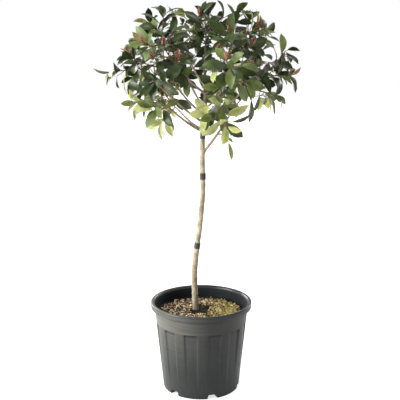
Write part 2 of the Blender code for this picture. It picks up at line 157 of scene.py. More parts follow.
def noiseAt(tree, place, scale, detail=4.0, roughness=0.6):
    stretch = addNode(tree, "ShaderNodeMapping", {"Vector": place, "Scale": perAxis(scale)})
    return addNode(tree, "ShaderNodeTexNoise",
                   {"Vector": stretch, "Scale": 1.0, "Detail": detail, "Roughness": roughness})


def grained(tree, place, stops, *noiseSettings):
    # a noise, and the colours that a ramp makes of it
    grain = noiseAt(tree, place, *noiseSettings)
    return grain, addNode(tree, "ShaderNodeValToRGB", {0: grain}, stops)


def offAxis(tree, place):
    # the distance from the plant's upright axis
    flat = addNode(tree, "ShaderNodeVectorMath", {0: place, 1: (1.0, 1.0, 0.0)}, operation="MULTIPLY")
    return addNode(tree, "ShaderNodeVectorMath", {0: flat}, operation="LENGTH")


def newMaterial(name, **shader):
    material = bpy.data.materials.new(name)
    material.use_nodes = True
    tree = material.node_tree
    surface = tree.nodes["Principled BSDF"]
    feed(tree, surface, {key.replace("_", " "): value for key, value in shader.items()})
    return material, tree, surface, addNode(tree, "ShaderNodeTexCoord").outputs["Object"]


def finish(tree, surface, colour, *bumps):
    # the material's colour, and its bumps of (height, strength, distance) laid over one another
    under = {}
    for height, strength, distance in bumps:
        relief = {"Height": height, "Strength": strength, "Distance": distance, **under}
        under = {"Normal": addNode(tree, "ShaderNodeBump", relief)}
    feed(tree, surface, {"Base Color": colour, **under})


def grainedMaterial(name, stops, noiseSettings, bump=None, **shader):
    # a material whose colour and bump, as (strength, distance), follow one noise
    material, tree, surface, place = newMaterial(name, **shader)
    grain, colour = grained(tree, place, stops, *noiseSettings)
    finish(tree, surface, colour, *([(grain, *bump)] if bump else ()))
    return material


def newPiece(name, mesh, materials, replaced=(), smoothTo=None):
    # a finished piece that rides on the plant's one body
    piece = newObject(name, mesh)
    if materials:
        mesh.materials.clear()
        for material in materials:
            mesh.materials.append(material)
    if smoothTo is not None:
        mesh.shade_smooth()
        mesh.set_sharp_from_angle(angle=math.radians(smoothTo))
    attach(piece, "root")
    if replaced:
        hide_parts(*replaced)
    mesh.calc_loop_triangles()
    print(f"{name}: {len(mesh.loop_triangles)} triangles")


def meshFrom(name, points, faces, slots=None, edges=()):
    mesh = bpy.data.meshes.new(name)
    mesh.from_pydata(points, edges, faces)
    if slots is not None:
        mesh.polygons.foreach_set("material_index", slots)
    mesh.update()
    return mesh


def meshOf(name, shape):
    # the mesh of a finished bmesh
    mesh = bpy.data.meshes.new(name)
    shape.to_mesh(mesh)
    shape.free()
    return mesh


def tubeFaces(count, rings, closed=False):
    # between rings of points that rise one after another, and back from the last to the first where closed
    faces = []
    for ring in range(rings if closed else rings - 1):
        low, high = ring * count, (ring + 1) % rings * count
        faces += [(low + n, low + (n + 1) % count, high + (n + 1) % count, high + n) for n in range(count)]
    return faces


def discFaces(count, rings):
    # from the middle, point 0, outwards over rings of points, one sector after another
    faces = []
    for k in range(count):
        after = (k + 1) % count
        faces.append((0, 1 + k, 1 + after))
        for ring in range(rings - 1):
            low, high = 1 + ring * count, 1 + (ring + 1) * count
            faces.append((low + k, high + k, high + after, low + after))
    return faces


def smoothLine(points, values, steps):
    # a Catmull-Rom curve through the points, with the values that go with them
    line, along = [], []
    for k in range(len(points) - 1):
        before = points[k - 1] if k else points[0] * 2 - points[1]
        after = points[k + 2] if k + 2 < len(points) else points[-1] * 2 - points[-2]
        a, b = points[k], points[k + 1]
        for n in range(steps):
            t = n / steps
            line.append(0.5 * (2 * a + (b - before) * t + (2 * before - 5 * a + 4 * b - after) * t * t
                               + (3 * a - before - 3 * b + after) * t ** 3))
            along.append(between(values[k], values[k + 1], t))
    return line + [points[-1]], along + [values[-1]]


def baked(mesh, kind, sizes=None, **settings):
    # the plain mesh that one modifier makes of this one; sizes go to a Geometry Nodes tree's named inputs
    carrier = newObject("carrier", mesh)
    step = carrier.modifiers.new("step", kind)
    for key, value in settings.items():
        setattr(step, key, value)
    if sizes:
        for socket in step.node_group.interface.items_tree:
            if socket.in_out == "INPUT" and socket.name in sizes:
                step[socket.identifier] = sizes[socket.name]
    graph = bpy.context.evaluated_depsgraph_get()
    made = bpy.data.meshes.new_from_object(carrier.evaluated_get(graph))
    bpy.data.objects.remove(carrier)
    return made


def nodeTree(name, sizes):
    # an empty Geometry Nodes tree with its sizes as named inputs
    tree = bpy.data.node_groups.new(name, "GeometryNodeTree")
    tree.interface.new_socket("Geometry", in_out="INPUT", socket_type="NodeSocketGeometry")
    tree.interface.new_socket("Geometry", in_out="OUTPUT", socket_type="NodeSocketGeometry")
    for label, value in sizes.items():
        kind = "NodeSocketInt" if isinstance(value, int) else "NodeSocketFloat"
        tree.interface.new_socket(label, in_out="INPUT", socket_type=kind)
    return tree, addNode(tree, "NodeGroupInput").outputs


# Camera, floor and light

cameraPlan = {"place": (0.0, -2.119, 1.000), "down": 11.55, "lens": 67.3, "sensor": 36.0,
              "shiftX": -1.17 / 400}
# azimuth 0 is +X and 90 is away from the viewer; angle is how wide the source looks; all in degrees
studioLights = {
    "left": {"azimuth": 204.0, "height": 13.0, "strength": 4.9, "angle": 36.0},
    "leftRim": {"azimuth": 132.0, "height": 16.0, "strength": 2.9, "angle": 34.0},
    "right": {"azimuth": 50.0, "height": 20.0, "strength": 1.3, "angle": 26.0},
    "overhead": {"azimuth": -120.0, "height": 72.0, "strength": 1.4, "angle": 26.0},
    "backdrop": {"azimuth": 98.0, "height": 16.0, "strength": 1.0, "angle": 110.0},
}
studioPlan = {
    "skyLight": 0.25,
    "mirrorShare": 0.36,  # how much of their whiteness to the eye the sky and the floor keep in reflections
    "floorRadius": 14.0,
    "floorBelow": 0.0002,
    "floorGlow": 0.70,  # to the eye, so that shadows on it all but vanish
}
white = (1.0, 1.0, 1.0, 1.0)

lens = bpy.data.cameras.new("camera")
lens.lens = cameraPlan["lens"]
lens.sensor_width = cameraPlan["sensor"]
lens.shift_x = cameraPlan["shiftX"]
camera = newObject("camera", lens)
camera.location = cameraPlan["place"]
camera.rotation_euler = (math.radians(90.0 - cameraPlan["down"]), 0.0, 0.0)
bpy.context.scene.camera = camera

for name, lamp in studioLights.items():
    sun = bpy.data.lights.new(name, "SUN")
    sun.energy = lamp["strength"]
    sun.angle = math.radians(lamp["angle"])
    azimuth, height = math.radians(lamp["azimuth"]), math.radians(lamp["height"])
    level = math.cos(height)
    towards = Vector((math.cos(azimuth) * level, math.sin(azimuth) * level, math.sin(height)))
    newObject(name, sun).rotation_euler = towards.to_track_quat("Z", "Y").to_euler()


def whiteness(tree):
    # full to the eye, softer in reflections, and none as a light
    seen = addNode(tree, "ShaderNodeLightPath").outputs
    mirrored = mask(tree, seen["Is Glossy Ray"], studioPlan["mirrorShare"])
    return mask(tree, seen["Is Camera Ray"], mirrored, operation="MAXIMUM")


world = bpy.data.worlds.new("studioSky")
world.use_nodes = True
bpy.context.scene.world = world
tree = world.node_tree
skyStrength = mask(tree, (whiteness(tree), 0.0, 1.0, studioPlan["skyLight"], 1.0))
feed(tree, tree.nodes["Background"], {"Color": white, "Strength": skyStrength})
bpy.context.scene.view_settings.view_transform = "Standard"

# Matt white background paper.
paper, tree, surface, _ = newMaterial("whiteStudioPaper", Base_Color=linear("dadada"), Roughness=0.9)
feed(tree, surface, {"Emission Color": white,
                     "Emission Strength": mask(tree, whiteness(tree), studioPlan["floorGlow"])})
disc = bmesh.new()
bmesh.ops.create_circle(disc, cap_ends=True, segments=96, radius=studioPlan["floorRadius"])
floorMesh = meshOf("studioFloor", disc)
floorMesh.transform(Matrix.Translation((0.0, 0.0, -studioPlan["floorBelow"])))
floorMesh.materials.append(paper)
newObject("studioFloor", floorMesh)
print("camera, floor and light set")


# The pot

potPlan = {
    "height": 0.263,
    "lipRadius": 0.150,
    "lipDrop": 0.0165,
    "lipSkin": 0.0020,
    "lipRound": 0.0034,
    "wall": 0.0022,
    "floor": 0.0026,
    "baseRadius": 0.1135,  # of the wall, carried down to the ground
    "collarRadius": 0.1384,  # of the wall just under the lip
    "corner": 0.0040,  # the rounding between the floor and the wall, which runs towards this height
    "cornerTowards": 0.03,
    "floorInset": 0.001,
    "footLevel": 0.006,
    "footRound": 0.0022,
    "flutes": 12,
    "fluteDepth": 0.0044,  # at its top; it runs out to nothing at its foot
    "fluteTop": 0.2010,
    "fluteFoot": 0.030,
    "fluteLedge": 0.0016,
    "fluteHalf": 6.9,  # degrees from a flute's middle to its side, and the side itself
    "fluteSide": 2.5,
    "flutePhase": 17.0,  # of one flute's middle, from -Y towards +X
    "middle": 0.05,  # radius of the plain middle of the floor
    "bodyLevels": (0.012, 0.022, 0.030, 0.045, 0.065, 0.090, 0.115, 0.140, 0.165, 0.185),
    "ledgeLevels": (-0.5, 0.0, 0.33, 0.67, 1.0, 1.5),  # in heights of the ledge, from the flutes' top
    "collarLevels": (0.214, 0.226, 0.236),
    "lipLevels": (0.246, 0.252),
    "sideShares": (0.17, 0.33, 0.5, 0.67, 0.83, 1.0),
    "notches": 6,
    "notchFoot": 0.039,
    "notchTop": 0.026,
    "notchHeight": 0.0135,
    "notchReach": 0.026,
    "notchTaper": 0.0035,
    "notchPast": 0.010,  # how far the cut runs on past the wall and the ground
    "housingLevels": (0.001, 0.051),  # of the wall between which the floor's humps are kept inside it
    # The lip's fine shape. Its points say how far in from its edge and how far down from its top they lie;
    # those behind its skirt lie that far in from its skin.
    "lip": {
        "insideDown": 0.008,
        "insideSlant": 0.0030,
        "insideRound": 0.0028,
        "outerTop": (0.0004, 0.0),
        "skirt": ((0.0003, 0.008), (0.0006, 0.0125)),
        "skirtEnd": (0.0004, 0.010),
        "footIn": 0.0012,
        "footRound": 0.0006,
        "footWidth": 0.0014,
        "back": (0.0012, -0.0004),  # down from the skirt's foot
        "behind": (0.0004, 0.0072),
        "root": (0.0006, 0.0050),  # where the skirt's back turns in to the wall
        "rootRound": 0.0014,
        "rootEnds": ((0.0006, 0.0055), (0.0004, 0.0062)),  # out from the wall, and down
    },
}
# Where the plastic's marks lie, as ranges: from, to and, where they aren't 0 and 1, what these turn into. Its
# grains give their scale, or scales, detail and roughness, and its bumps their strength and distance.
plasticLook = {
    "collar": (0.2000, 0.2035),
    "bodyDust": (0.08, 0.2035, 0.05, 0.58),
    "lipDust": (0.2458, 0.2474, 1.0, 0.74),
    "inside": (0.205, 0.207),
    "litSide": (-0.10, 0.02, 1.0, 0.13),  # over x: dust and painted light, lighter on the lit -X side
    "dust": (0.34, 0.66, 0.36, 0.64),  # over the flow lines
    "runs": (0.50, 0.78, 0.0, 0.22),  # over the runs down the body
    # painted shade: the flutes' tops under the ledge, a band under the lip, and a line round the lip's top
    "ledge": ((0.1915, 0.1990, 0.0, 0.85), (0.2040, 0.2030)),
    "underLipShade": ((0.2378, 0.2430, 0.0, 0.55), (0.2482, 0.2472)),  # under the lip
    "groove": ((0.2576, 0.2584, 0.0, 0.45), (0.2604, 0.2596)),  # the fine one round the lip's top
    "sunk": (-0.0002, -0.0010),  # from the body's cone inwards
    "outside": (-0.0014, -0.0008),
    "satin": (0.3, 0.7, 0.36, 0.48),
    "polish": (0.2595, 0.2610, 0.0, 0.20),  # hands have rubbed the lip's edge
    "lipShade": (0.2614, 0.2627, 1.0, 0.30),
    "insideShade": (0.0, 1.0, 0.36, 0.12),
    "insideSatin": 0.4,
    "mottleColours": ((0.30, "1f2221"), (0.72, "272a29")),
    "runColour": "3e4240",
    "dustColour": "86847a",
    "paintedShadeColour": "0b0d0d",
    "insideColour": "23282a",
    "grains": {"mottle": (26.0, 5.0), "runs": ((120.0, 120.0, 6.0),), "flow": ((9.0, 9.0, 210.0), 4.0, 0.62),
               "grit": (420.0, 2.0)},
    "bumps": {"flow": (0.12, 0.0004), "runs": (0.10, 0.0004), "grit": (0.12, 0.0003)},
}


def wallRadius(height):
    low, high = potPlan["baseRadius"], potPlan["collarRadius"]
    return low + (high - low) * height / (potPlan["height"] - potPlan["lipDrop"])


def fluteShare(height):
    # it deepens from its foot up to a crisp ledge
    top, foot, ledge = potPlan["fluteTop"], potPlan["fluteFoot"], potPlan["fluteLedge"]
    return unit((height - foot) / (top - foot)) * unit((top + ledge - height) / ledge)


def roundCorner(corner, before, after, radius, steps=4):
    # a rounded corner of the profile, between the points before and after it
    c = Vector(corner)
    a, b = (c + (Vector(end) - c).normalized() * radius for end in (before, after))
    return [tuple(a.lerp(c, t).lerp(c.lerp(b, t), t)) for t in (k / steps for k in range(steps + 1))]


def potProfile():
    # (radius, height) from the middle of the floor inside, over the lip and down to the underside's middle
    p = potPlan
    top, skin, wall, drop = p["height"], p["lipSkin"], p["wall"], p["lipDrop"]
    levels = [p["fluteTop"] + p["fluteLedge"] * share for share in p["ledgeLevels"]]
    levels = list(p["bodyLevels"]) + levels + list(p["collarLevels"])
    middle, floorMiddle = (p["middle"], 0.0), (p["middle"], p["floor"])

    def edge(inward, down):
        # a point of the lip, by how far in from its edge and down from its top it lies
        return p["lipRadius"] - inward, top - down

    def wallAt(height, inward=0.0):
        return wallRadius(height) - inward, height

    inner = [(0.0, p["floor"]), floorMiddle]
    floorEdge = (p["baseRadius"] - wall - p["floorInset"], p["floor"])
    inner += roundCorner(floorEdge, floorMiddle, wallAt(p["cornerTowards"], wall), p["corner"])
    inner += [wallAt(height, wall) for height in levels + list(p["lipLevels"])]
    # the lip: up its slanting inside, over its rounded top, down its skirt and up behind it to the wall
    fine, rim = p["lip"], wallRadius(top)
    insideLow = (rim - wall, top - fine["insideDown"])
    insideTop = (rim - wall + fine["insideSlant"], top)
    outerTop, skirtFoot = edge(*fine["outerTop"]), edge(fine["footIn"], drop)
    lip = roundCorner(insideTop, insideLow, outerTop, fine["insideRound"])
    lip += roundCorner(outerTop, insideTop, skirtFoot, p["lipRound"], 6)
    lip += [edge(*place) for place in fine["skirt"]]
    inFoot = edge(skin + fine["footWidth"], drop)
    lip += roundCorner(skirtFoot, edge(*fine["skirtEnd"]), inFoot, fine["footRound"], 2)
    behind = edge(skin + fine["behind"][0], fine["behind"][1])
    lip += [edge(skin + fine["back"][0], drop + fine["back"][1]), behind]
    under, last = ((rim + out, top - down) for out, down in fine["rootEnds"])
    root = edge(skin + fine["root"][0], fine["root"][1])
    lip += roundCorner(root, behind, under, fine["rootRound"], 2) + [last]
    lip += [wallAt(height) for height in reversed(p["lipLevels"])]
    footEnd = wallAt(p["footLevel"])
    outer = [wallAt(height) for height in reversed(levels)] + [footEnd]
    outer += roundCorner((p["baseRadius"], 0.0), footEnd, middle, p["footRound"], 3)
    return inner + lip + outer + [middle, (0.0, 0.0)]


def fluteAngles():
    # degrees round one flute: close together where its sides turn, wider apart between
    half, side, pitch = potPlan["fluteHalf"], potPlan["fluteSide"], 360.0 / potPlan["flutes"]
    sunk = [-half + 2 * half * k / 8 for k in range(9)]
    sides = [half + side * share for share in potPlan["sideShares"]]
    land = [half + side + (pitch - 2 * (half + side)) * k / 6 for k in range(1, 6)]
    return sunk + sides + land + [pitch - angle for angle in reversed(sides)]


def fluteDepthAt(angle):
    # how deep a flute is at this many degrees from its middle, from 1 to 0, with rounded shoulders
    half, side, pitch = potPlan["fluteHalf"], potPlan["fluteSide"], 360.0 / potPlan["flutes"]
    away = abs((angle + pitch / 2) % pitch - pitch / 2)
    t = unit((half + side - away) / side)
    return t * t * (3 - 2 * t)


def potShell():
    # rings of points for every level, closed at the two poles
    p = potPlan
    profile = potProfile()
    angles = [flute * 360.0 / p["flutes"] + angle for flute in range(p["flutes"]) for angle in fluteAngles()]
    points = [(0.0, 0.0, profile[0][1])]
    for radius, height in profile[1:-1]:
        walled = radius > p["baseRadius"] - p["wall"] - 2 * p["corner"]
        for angle in angles:
            sunk = p["fluteDepth"] * fluteShare(height) * fluteDepthAt(angle) if walled else 0.0
            turn = math.radians(angle + p["flutePhase"] - 90.0)
            points.append(((radius - sunk) * math.cos(turn), (radius - sunk) * math.sin(turn), height))
    points.append((0.0, 0.0, 0.0))
    count, rings, last = len(angles), len(profile) - 2, len(points) - 1
    low = last - count
    faces = discFaces(count, rings) + [(low + k, last, low + (k + 1) % count) for k in range(count)]
    return meshFrom("pot", points, faces)


def notchRing(swell):
    # the tapering recesses round the pot's foot, as solids
    p = potPlan
    ring = []
    for k in range(p["notches"]):
        shape = bmesh.new()
        bmesh.ops.create_cube(shape, size=1.0)
        for corner in shape.verts:
            inside, high = corner.co.x < 0, corner.co.z > 0
            half = p["notchTop" if high else "notchFoot"] / 2 + swell - (p["notchTaper"] if inside else 0.0)
            corner.co.x = p["baseRadius"] + (-p["notchReach"] - swell if inside else p["notchPast"])
            corner.co.y = math.copysign(half, corner.co.y)
            corner.co.z = p["notchHeight"] + swell if high else -p["notchPast"]
        turn = math.radians(p["flutePhase"] - 90.0 + k * 360.0 / p["notches"])
        ring.append(meshOf("notch", shape))
        ring[-1].transform(Matrix.Rotation(turn, 4, "Z"))
    return ring


def combine(mesh, operation, tools):
    # a Boolean with every tool mesh at once
    shelf = bpy.data.collections.new("tools")
    bpy.context.scene.collection.children.link(shelf)
    for tool in tools:
        shelf.objects.link(bpy.data.objects.new("tool", tool))
    made = baked(mesh, "BOOLEAN", operation=operation, operand_type="COLLECTION", collection=shelf,
                 solver="MANIFOLD")
    for used in list(shelf.objects):
        bpy.data.objects.remove(used)
    bpy.data.collections.remove(shelf)
    return made


def housing(block):
    # the floor's hump over a notch, kept inside the wall
    foot, top = potPlan["housingLevels"]
    low, high = (wallRadius(height) - potPlan["wall"] / 2 for height in (foot, top))
    limit = bmesh.new()
    bmesh.ops.create_cone(limit, cap_ends=True, segments=96, depth=top - foot, radius1=low, radius2=high)
    within = meshOf("limit", limit)
    within.transform(Matrix.Translation((0.0, 0.0, (top - foot + potPlan["floor"]) / 2)))
    return combine(block, "INTERSECT", [within])


# Recycled black polypropylene, injection moulded: satin, and dusty grey rather than black in soft light. The
# body has faint runs down it, and the fine flow lines of the collar, 5 mm apart, hold a brown dust, laid
# lighter on the -X side as painted light where the key light falls. Painted shade darkens the flutes' tops
# under the collar's ledge, a band just under the lip and a fine line round the lip's top.
plastic, tree, surface, place = newMaterial("mouldedPolypropylene", Roughness=0.5, IOR=1.49)
look = plasticLook
grains, bumps = look["grains"], look["bumps"]
axes = addNode(tree, "ShaderNodeSeparateXYZ", {0: place}).outputs
height = axes["Z"]
mottle, skin = grained(tree, place, look["mottleColours"], *grains["mottle"])
runs, flow, grit = (noiseAt(tree, place, *grains[key]) for key in ("runs", "flow", "grit"))
# how far a point lies outside the body's cone tells the inside and the flutes' sunk parts
taper = (potPlan["collarRadius"] - potPlan["baseRadius"]) / (potPlan["height"] - potPlan["lipDrop"])
cone = mask(tree, mask(tree, height, taper), potPlan["baseRadius"], operation="ADD")
beyond = mask(tree, offAxis(tree, place), cone, operation="SUBTRACT")
outside = mask(tree, 1.0, (beyond, *look["outside"]), operation="SUBTRACT")
within = mask(tree, (height, *look["inside"]), outside)
collar = mask(tree, (height, *look["collar"]))
powder = mask(tree, collar, (height, *look["bodyDust"]), operation="MAXIMUM")
# the dust is laid lighter on the -X side: partly painted light, where the key light falls
dust = mask(tree, (flow, *look["dust"]), (axes["X"], *look["litSide"]), powder, (height, *look["lipDust"]))
# painted shade, in its own dark colour: under the collar's ledge, under the lip and round the lip's top
ledge, underLipShade, groove = (mask(tree, *((height, *part) for part in look[key]))
                       for key in ("ledge", "underLipShade", "groove"))
paintedShade = mask(tree, mask(tree, ledge, (beyond, *look["sunk"])), underLipShade, groove, operation="MAXIMUM")
painted = layered(tree, skin, (mask(tree, (runs, *look["runs"])), look["runColour"]),
                  (dust, look["dustColour"]), (paintedShade, look["paintedShadeColour"]), (within, look["insideColour"]))
finish(tree, surface, painted, (mask(tree, flow, collar), *bumps["flow"]), (runs, *bumps["runs"]),
       (grit, *bumps["grit"]))
satin = mask(tree, (mottle, *look["satin"]), (height, *look["polish"]), operation="SUBTRACT")
shade = mask(tree, (height, *look["lipShade"]), (within, *look["insideShade"]))
dull = mask(tree, mask(tree, within, look["insideSatin"]), satin, operation="ADD")
feed(tree, surface, {"Roughness": dull, "Specular IOR Level": shade})

potMesh = combine(potShell(), "UNION", [housing(block) for block in notchRing(potPlan["wall"])])
potMesh = combine(potMesh, "DIFFERENCE", notchRing(0.0))
newPiece("nurseryPot", potMesh, [plastic], ["pot"], 34.0)


# Compost and mulch

mulchPlan = {
    "under": 0.2216,
    "top": 0.2285,
    "edge": 0.1337,
    "lump": 0.0026,
    "crumb": 0.0010,
    "mound": 0.0050,
    "patchAt": (-0.003, 0.004),
    "patchHalf": (0.031, 0.046),
    "patchTurn": -18.0,
    "patchDrop": 0.0022,
    "patchRagged": 0.16,  # as a share of its size
    "patchGrain": (130.0, 130.0, 1.0),
    "patchRim": (0.84, 1.06),  # from none of the mulch to all of it, in its own half sizes
    "lumpGrain": 60.0,
    "crumbGrain": 260.0,
    "soilBelow": 0.35,  # of the mulch: from there down it is bare compost
    "rings": 44,
    "columns": 120,
    "chipEdge": (0.103, 0.119),  # from this radius to this the chips thin out
    "chipInset": 0.0048,
    "chipRagged": 0.010,
    "chipGrain": (45.0, 45.0, 1.0),
    "darkEdge": (0.100, 0.118),
}
# how thick each kind of chip lies, in chips a square metre, and where: over x, from none to full
chipKinds = {
    "strawChip": {"density": 17000.0, "colours": ("fff1d0", "d3b88e"), "over": (0.20, 0.00)},
    "tanChip": {"density": 20000.0, "colours": ("ad8b68", "7c5c42"), "over": (0.16, -0.04)},
    # umber chips are partly dark bark and partly painted shade, spread right to stand in for shaded gaps
    "umberChip": {"density": 38000.0, "colours": ("473020", "1f150e"), "over": (0.26, -0.06)},
    "oliveChip": {"density": 44000.0, "colours": ("cdbb6b", "8e8138"), "over": (-0.03, 0.07)},
}
chipSizes = {"Length": 0.0082, "Width": 0.0028, "Thickness": 0.0016, "Tilt": 0.60, "Seed": 7}
crumbSizes = {"Density": 60000.0, "Size": 0.0019, "Seed": 5}
# what is dealt out at random, each from its lowest to its highest
chipPlay = {"grade": ((0.55, 0.6, 0.6), (1.25, 1.3, 1.4)), "lift": ((0.0, 0.0, -0.0006), (0.0, 0.0, 0.0024)),
            "crumb": ((0.5, 0.5, 0.4), (1.4, 1.2, 1.0)), "bend": 0.0034}

# Moist peat compost: nearly black and crumbly, with no shine.
peat = grainedMaterial("moistPeat", ((0.35, "070504"), (0.75, "1b150f")), (240.0, 6.0, 0.7), (0.9, 0.002),
                       Roughness=0.95, Specular_IOR_Level=0.15)
compostSlots = frame["nodes"]["compost"].data.materials
compostSlots.clear()
compostSlots.append(peat)

# Composted bark fines under the chips: brown, fibrous, dull, and dark where the chips thin out at the edge.
fines, tree, surface, place = newMaterial("barkFines", Roughness=0.93)
shreds, brown = grained(tree, place, ((0.30, "0f0b07"), (0.52, "261b12"), (0.75, "4a3823")), 170.0, 6.0, 0.75)
atEdge = mask(tree, (offAxis(tree, place), *mulchPlan["darkEdge"]))
finish(tree, surface, layered(tree, brown, (atEdge, "120f0c")), (shreds, 0.8, 0.0015))


def chipMaterial(name, light, dark):
    # Chipped softwood and bark, weathered: matt, with grain of about 1 mm drawn at 2 mm so that it shows.
    material, tree, surface, place = newMaterial(name, Roughness=0.88)
    grain, batch = noiseAt(tree, place, 480.0, 3.0), noiseAt(tree, place, 110.0, 1.0)
    both = mask(tree, mask(tree, grain, batch, operation="ADD"), 0.5)
    colour = addNode(tree, "ShaderNodeValToRGB", {0: both}, ((0.38, dark), (0.60, light)))
    finish(tree, surface, colour, (grain, 0.5, 0.0008))
    return material


def barePatch(x, y):
    # 0 within the bare patch round the stem's foot and 1 outside it, with a ragged rim
    p = mulchPlan
    turn = math.radians(p["patchTurn"])
    dx, dy = x - p["patchAt"][0], y - p["patchAt"][1]
    along = dx * math.cos(turn) + dy * math.sin(turn)
    across = dy * math.cos(turn) - dx * math.sin(turn)
    ragged = p["patchRagged"] * roughAt((x, y, 3.0), p["patchGrain"])
    low, high = p["patchRim"]
    out = math.hypot(along / p["patchHalf"][0], across / p["patchHalf"][1])
    return unit((out + ragged - low) / (high - low))


def mulchBed():
    # the layer's lumpy top, the bare patch sunk through it, and a flat underside
    p = mulchPlan
    count, rings = p["columns"], p["rings"]
    points, bare = [], []
    for ring in range(rings + 1):
        radius = p["edge"] * ring / rings
        for k in range(count if ring else 1):
            angle = 2 * math.pi * k / count
            x, y = radius * math.cos(angle), radius * math.sin(angle)
            share = barePatch(x, y)
            lump = p["lump"] * roughAt((x, y, p["top"]), p["lumpGrain"])
            crumb = p["crumb"] * roughAt((x, y, 0.0), p["crumbGrain"])
            top = p["top"] + lump + p["mound"] * (1.0 - math.hypot(x, y) / p["edge"])
            points.append((x, y, top + crumb - (p["patchDrop"] + lump) * (1.0 - share)))
            bare.append(share)
    faces = discFaces(count, rings)
    slots = [0 if sum(bare[n] for n in face) / len(face) > p["soilBelow"] else 1 for face in faces]
    rim, under = len(points) - count, len(points)
    points += [(x, y, p["under"]) for x, y, _ in points[rim:]]
    faces += [(rim + k, under + k, under + (k + 1) % count, rim + (k + 1) % count) for k in range(count)]
    faces.append(tuple(under + k for k in reversed(range(count))))
    return meshFrom("mulchBed", points, faces, slots + [0] * (count + 1)), bare


def scatterBase():
    # where chips may lie: the bed's top, kept in from the wall, with the bare patch as a weight
    bed, bare = mulchBed()
    shape = bmesh.new()
    shape.from_mesh(bed)
    weight = shape.verts.layers.float.new("cover")
    p = mulchPlan
    near, far = p["chipEdge"]
    beyond = []
    for index, vert in enumerate(shape.verts):
        away = math.hypot(vert.co.x, vert.co.y)
        if index >= len(bare) or away > p["edge"] - p["chipInset"]:
            beyond.append(vert)
            continue
        ragged = p["chipRagged"] * roughAt((vert.co.x, vert.co.y, 8.0), p["chipGrain"])
        vert[weight] = unit((far + ragged - away) / (far - near)) * bare[index]
    bmesh.ops.delete(shape, geom=beyond, context="VERTS")
    return meshOf("scatterBase", shape)


def laidOn(tree, points, shape, material, **inputs):
    # copies of a shape on points, made real and given their material
    laid = addNode(tree, "GeometryNodeInstanceOnPoints", {"Points": points, "Instance": shape, **inputs})
    real = addNode(tree, "GeometryNodeRealizeInstances", {0: laid})
    return addNode(tree, "GeometryNodeSetMaterial", {"Geometry": real, "Material": material})


def scatterTree(name, kinds, materials, crumbs):
    # chips lie flat but for a random tilt, turned any way; crumbs lie in the bare patch
    sizes = {**chipSizes, **{"Crumb " + key: value for key, value in crumbSizes.items()}}
    tree, given = nodeTree(name, sizes)
    play = chipPlay
    cover = addNode(tree, "GeometryNodeInputNamedAttribute", {"Name": "cover"}, data_type="FLOAT")
    east = addNode(tree, "ShaderNodeSeparateXYZ", {0: addNode(tree, "GeometryNodeInputPosition")})
    size = addNode(tree, "ShaderNodeCombineXYZ",
                   {axis: given[name] for axis, name in enumerate(("Length", "Width", "Thickness"))})
    block = addNode(tree, "GeometryNodeMeshCube", {0: size, 1: 3, 2: 2, 3: 2})
    lean = mask(tree, given["Tilt"], -1.0)
    lowTurn = addNode(tree, "ShaderNodeCombineXYZ", {0: lean, 1: lean, 2: 0.0})
    highTurn = addNode(tree, "ShaderNodeCombineXYZ", {0: given["Tilt"], 1: given["Tilt"], 2: 2 * math.pi})
    made = []
    for order, (kind, chip) in enumerate(kinds.items()):
        density = mask(tree, (east, *chip["over"]), cover, chip["density"])
        seed = mask(tree, given["Seed"], order * 10.0, operation="ADD")
        spread = addNode(tree, "GeometryNodeDistributePointsOnFaces",
                         {"Mesh": given["Geometry"], "Density": density, "Seed": seed})
        # each kind's block is bent by its own noise, so that no two kinds are alike
        crook = addNode(tree, "ShaderNodeTexNoise", {"Scale": 300.0 + 90.0 * order}, noise_dimensions="3D")
        bend = addNode(tree, "ShaderNodeVectorMath", {0: crook.outputs["Color"], 1: (0.5, 0.5, 0.5)},
                       operation="SUBTRACT")
        offset = addNode(tree, "ShaderNodeVectorMath", {0: bend, "Scale": play["bend"]}, operation="SCALE")
        chipShape = addNode(tree, "GeometryNodeSetPosition", {"Geometry": block, "Offset": offset})
        spin, grade, lift = (
            addNode(tree, "FunctionNodeRandomValue", {0: low, 1: high, "Seed": order + first},
                    data_type="FLOAT_VECTOR")
            for first, low, high in ((1, lowTurn, highTurn), (40, *play["grade"]), (80, *play["lift"])))
        raised = addNode(tree, "GeometryNodeSetPosition", {"Geometry": spread, "Offset": lift})
        turn = addNode(tree, "FunctionNodeEulerToRotation", {0: spin})
        made.append(laidOn(tree, raised, chipShape, materials[kind], Rotation=turn, Scale=grade))
    crumbDensity = mask(tree, mask(tree, 1.0, cover, operation="SUBTRACT"), given["Crumb Density"])
    crumbSpread = addNode(tree, "GeometryNodeDistributePointsOnFaces",
                          {"Mesh": given["Geometry"], "Density": crumbDensity, "Seed": given["Crumb Seed"]})
    crumb = addNode(tree, "GeometryNodeMeshIcoSphere", {"Radius": given["Crumb Size"], "Subdivisions": 1})
    low, high = play["crumb"]
    crumbGrade = addNode(tree, "FunctionNodeRandomValue", {0: low, 1: high}, data_type="FLOAT_VECTOR")
    made.append(laidOn(tree, crumbSpread, crumb, crumbs, Scale=crumbGrade))
    joined = addNode(tree, "GeometryNodeJoinGeometry")
    for layer in made:
        feed(tree, joined, {0: layer})
    addNode(tree, "NodeGroupOutput", {0: joined})
    return tree, sizes


bedMesh, _ = mulchBed()
newPiece("mulchBed", bedMesh, [fines, peat], ["mulch"], 60.0)
chipPaints = {kind: chipMaterial(kind, *chip["colours"]) for kind, chip in chipKinds.items()}
chipTree, chipInputs = scatterTree("scatterChips", chipKinds, chipPaints, peat)
newPiece("mulchChips", baked(scatterBase(), "NODES", chipInputs, node_group=chipTree), None)


# Stem

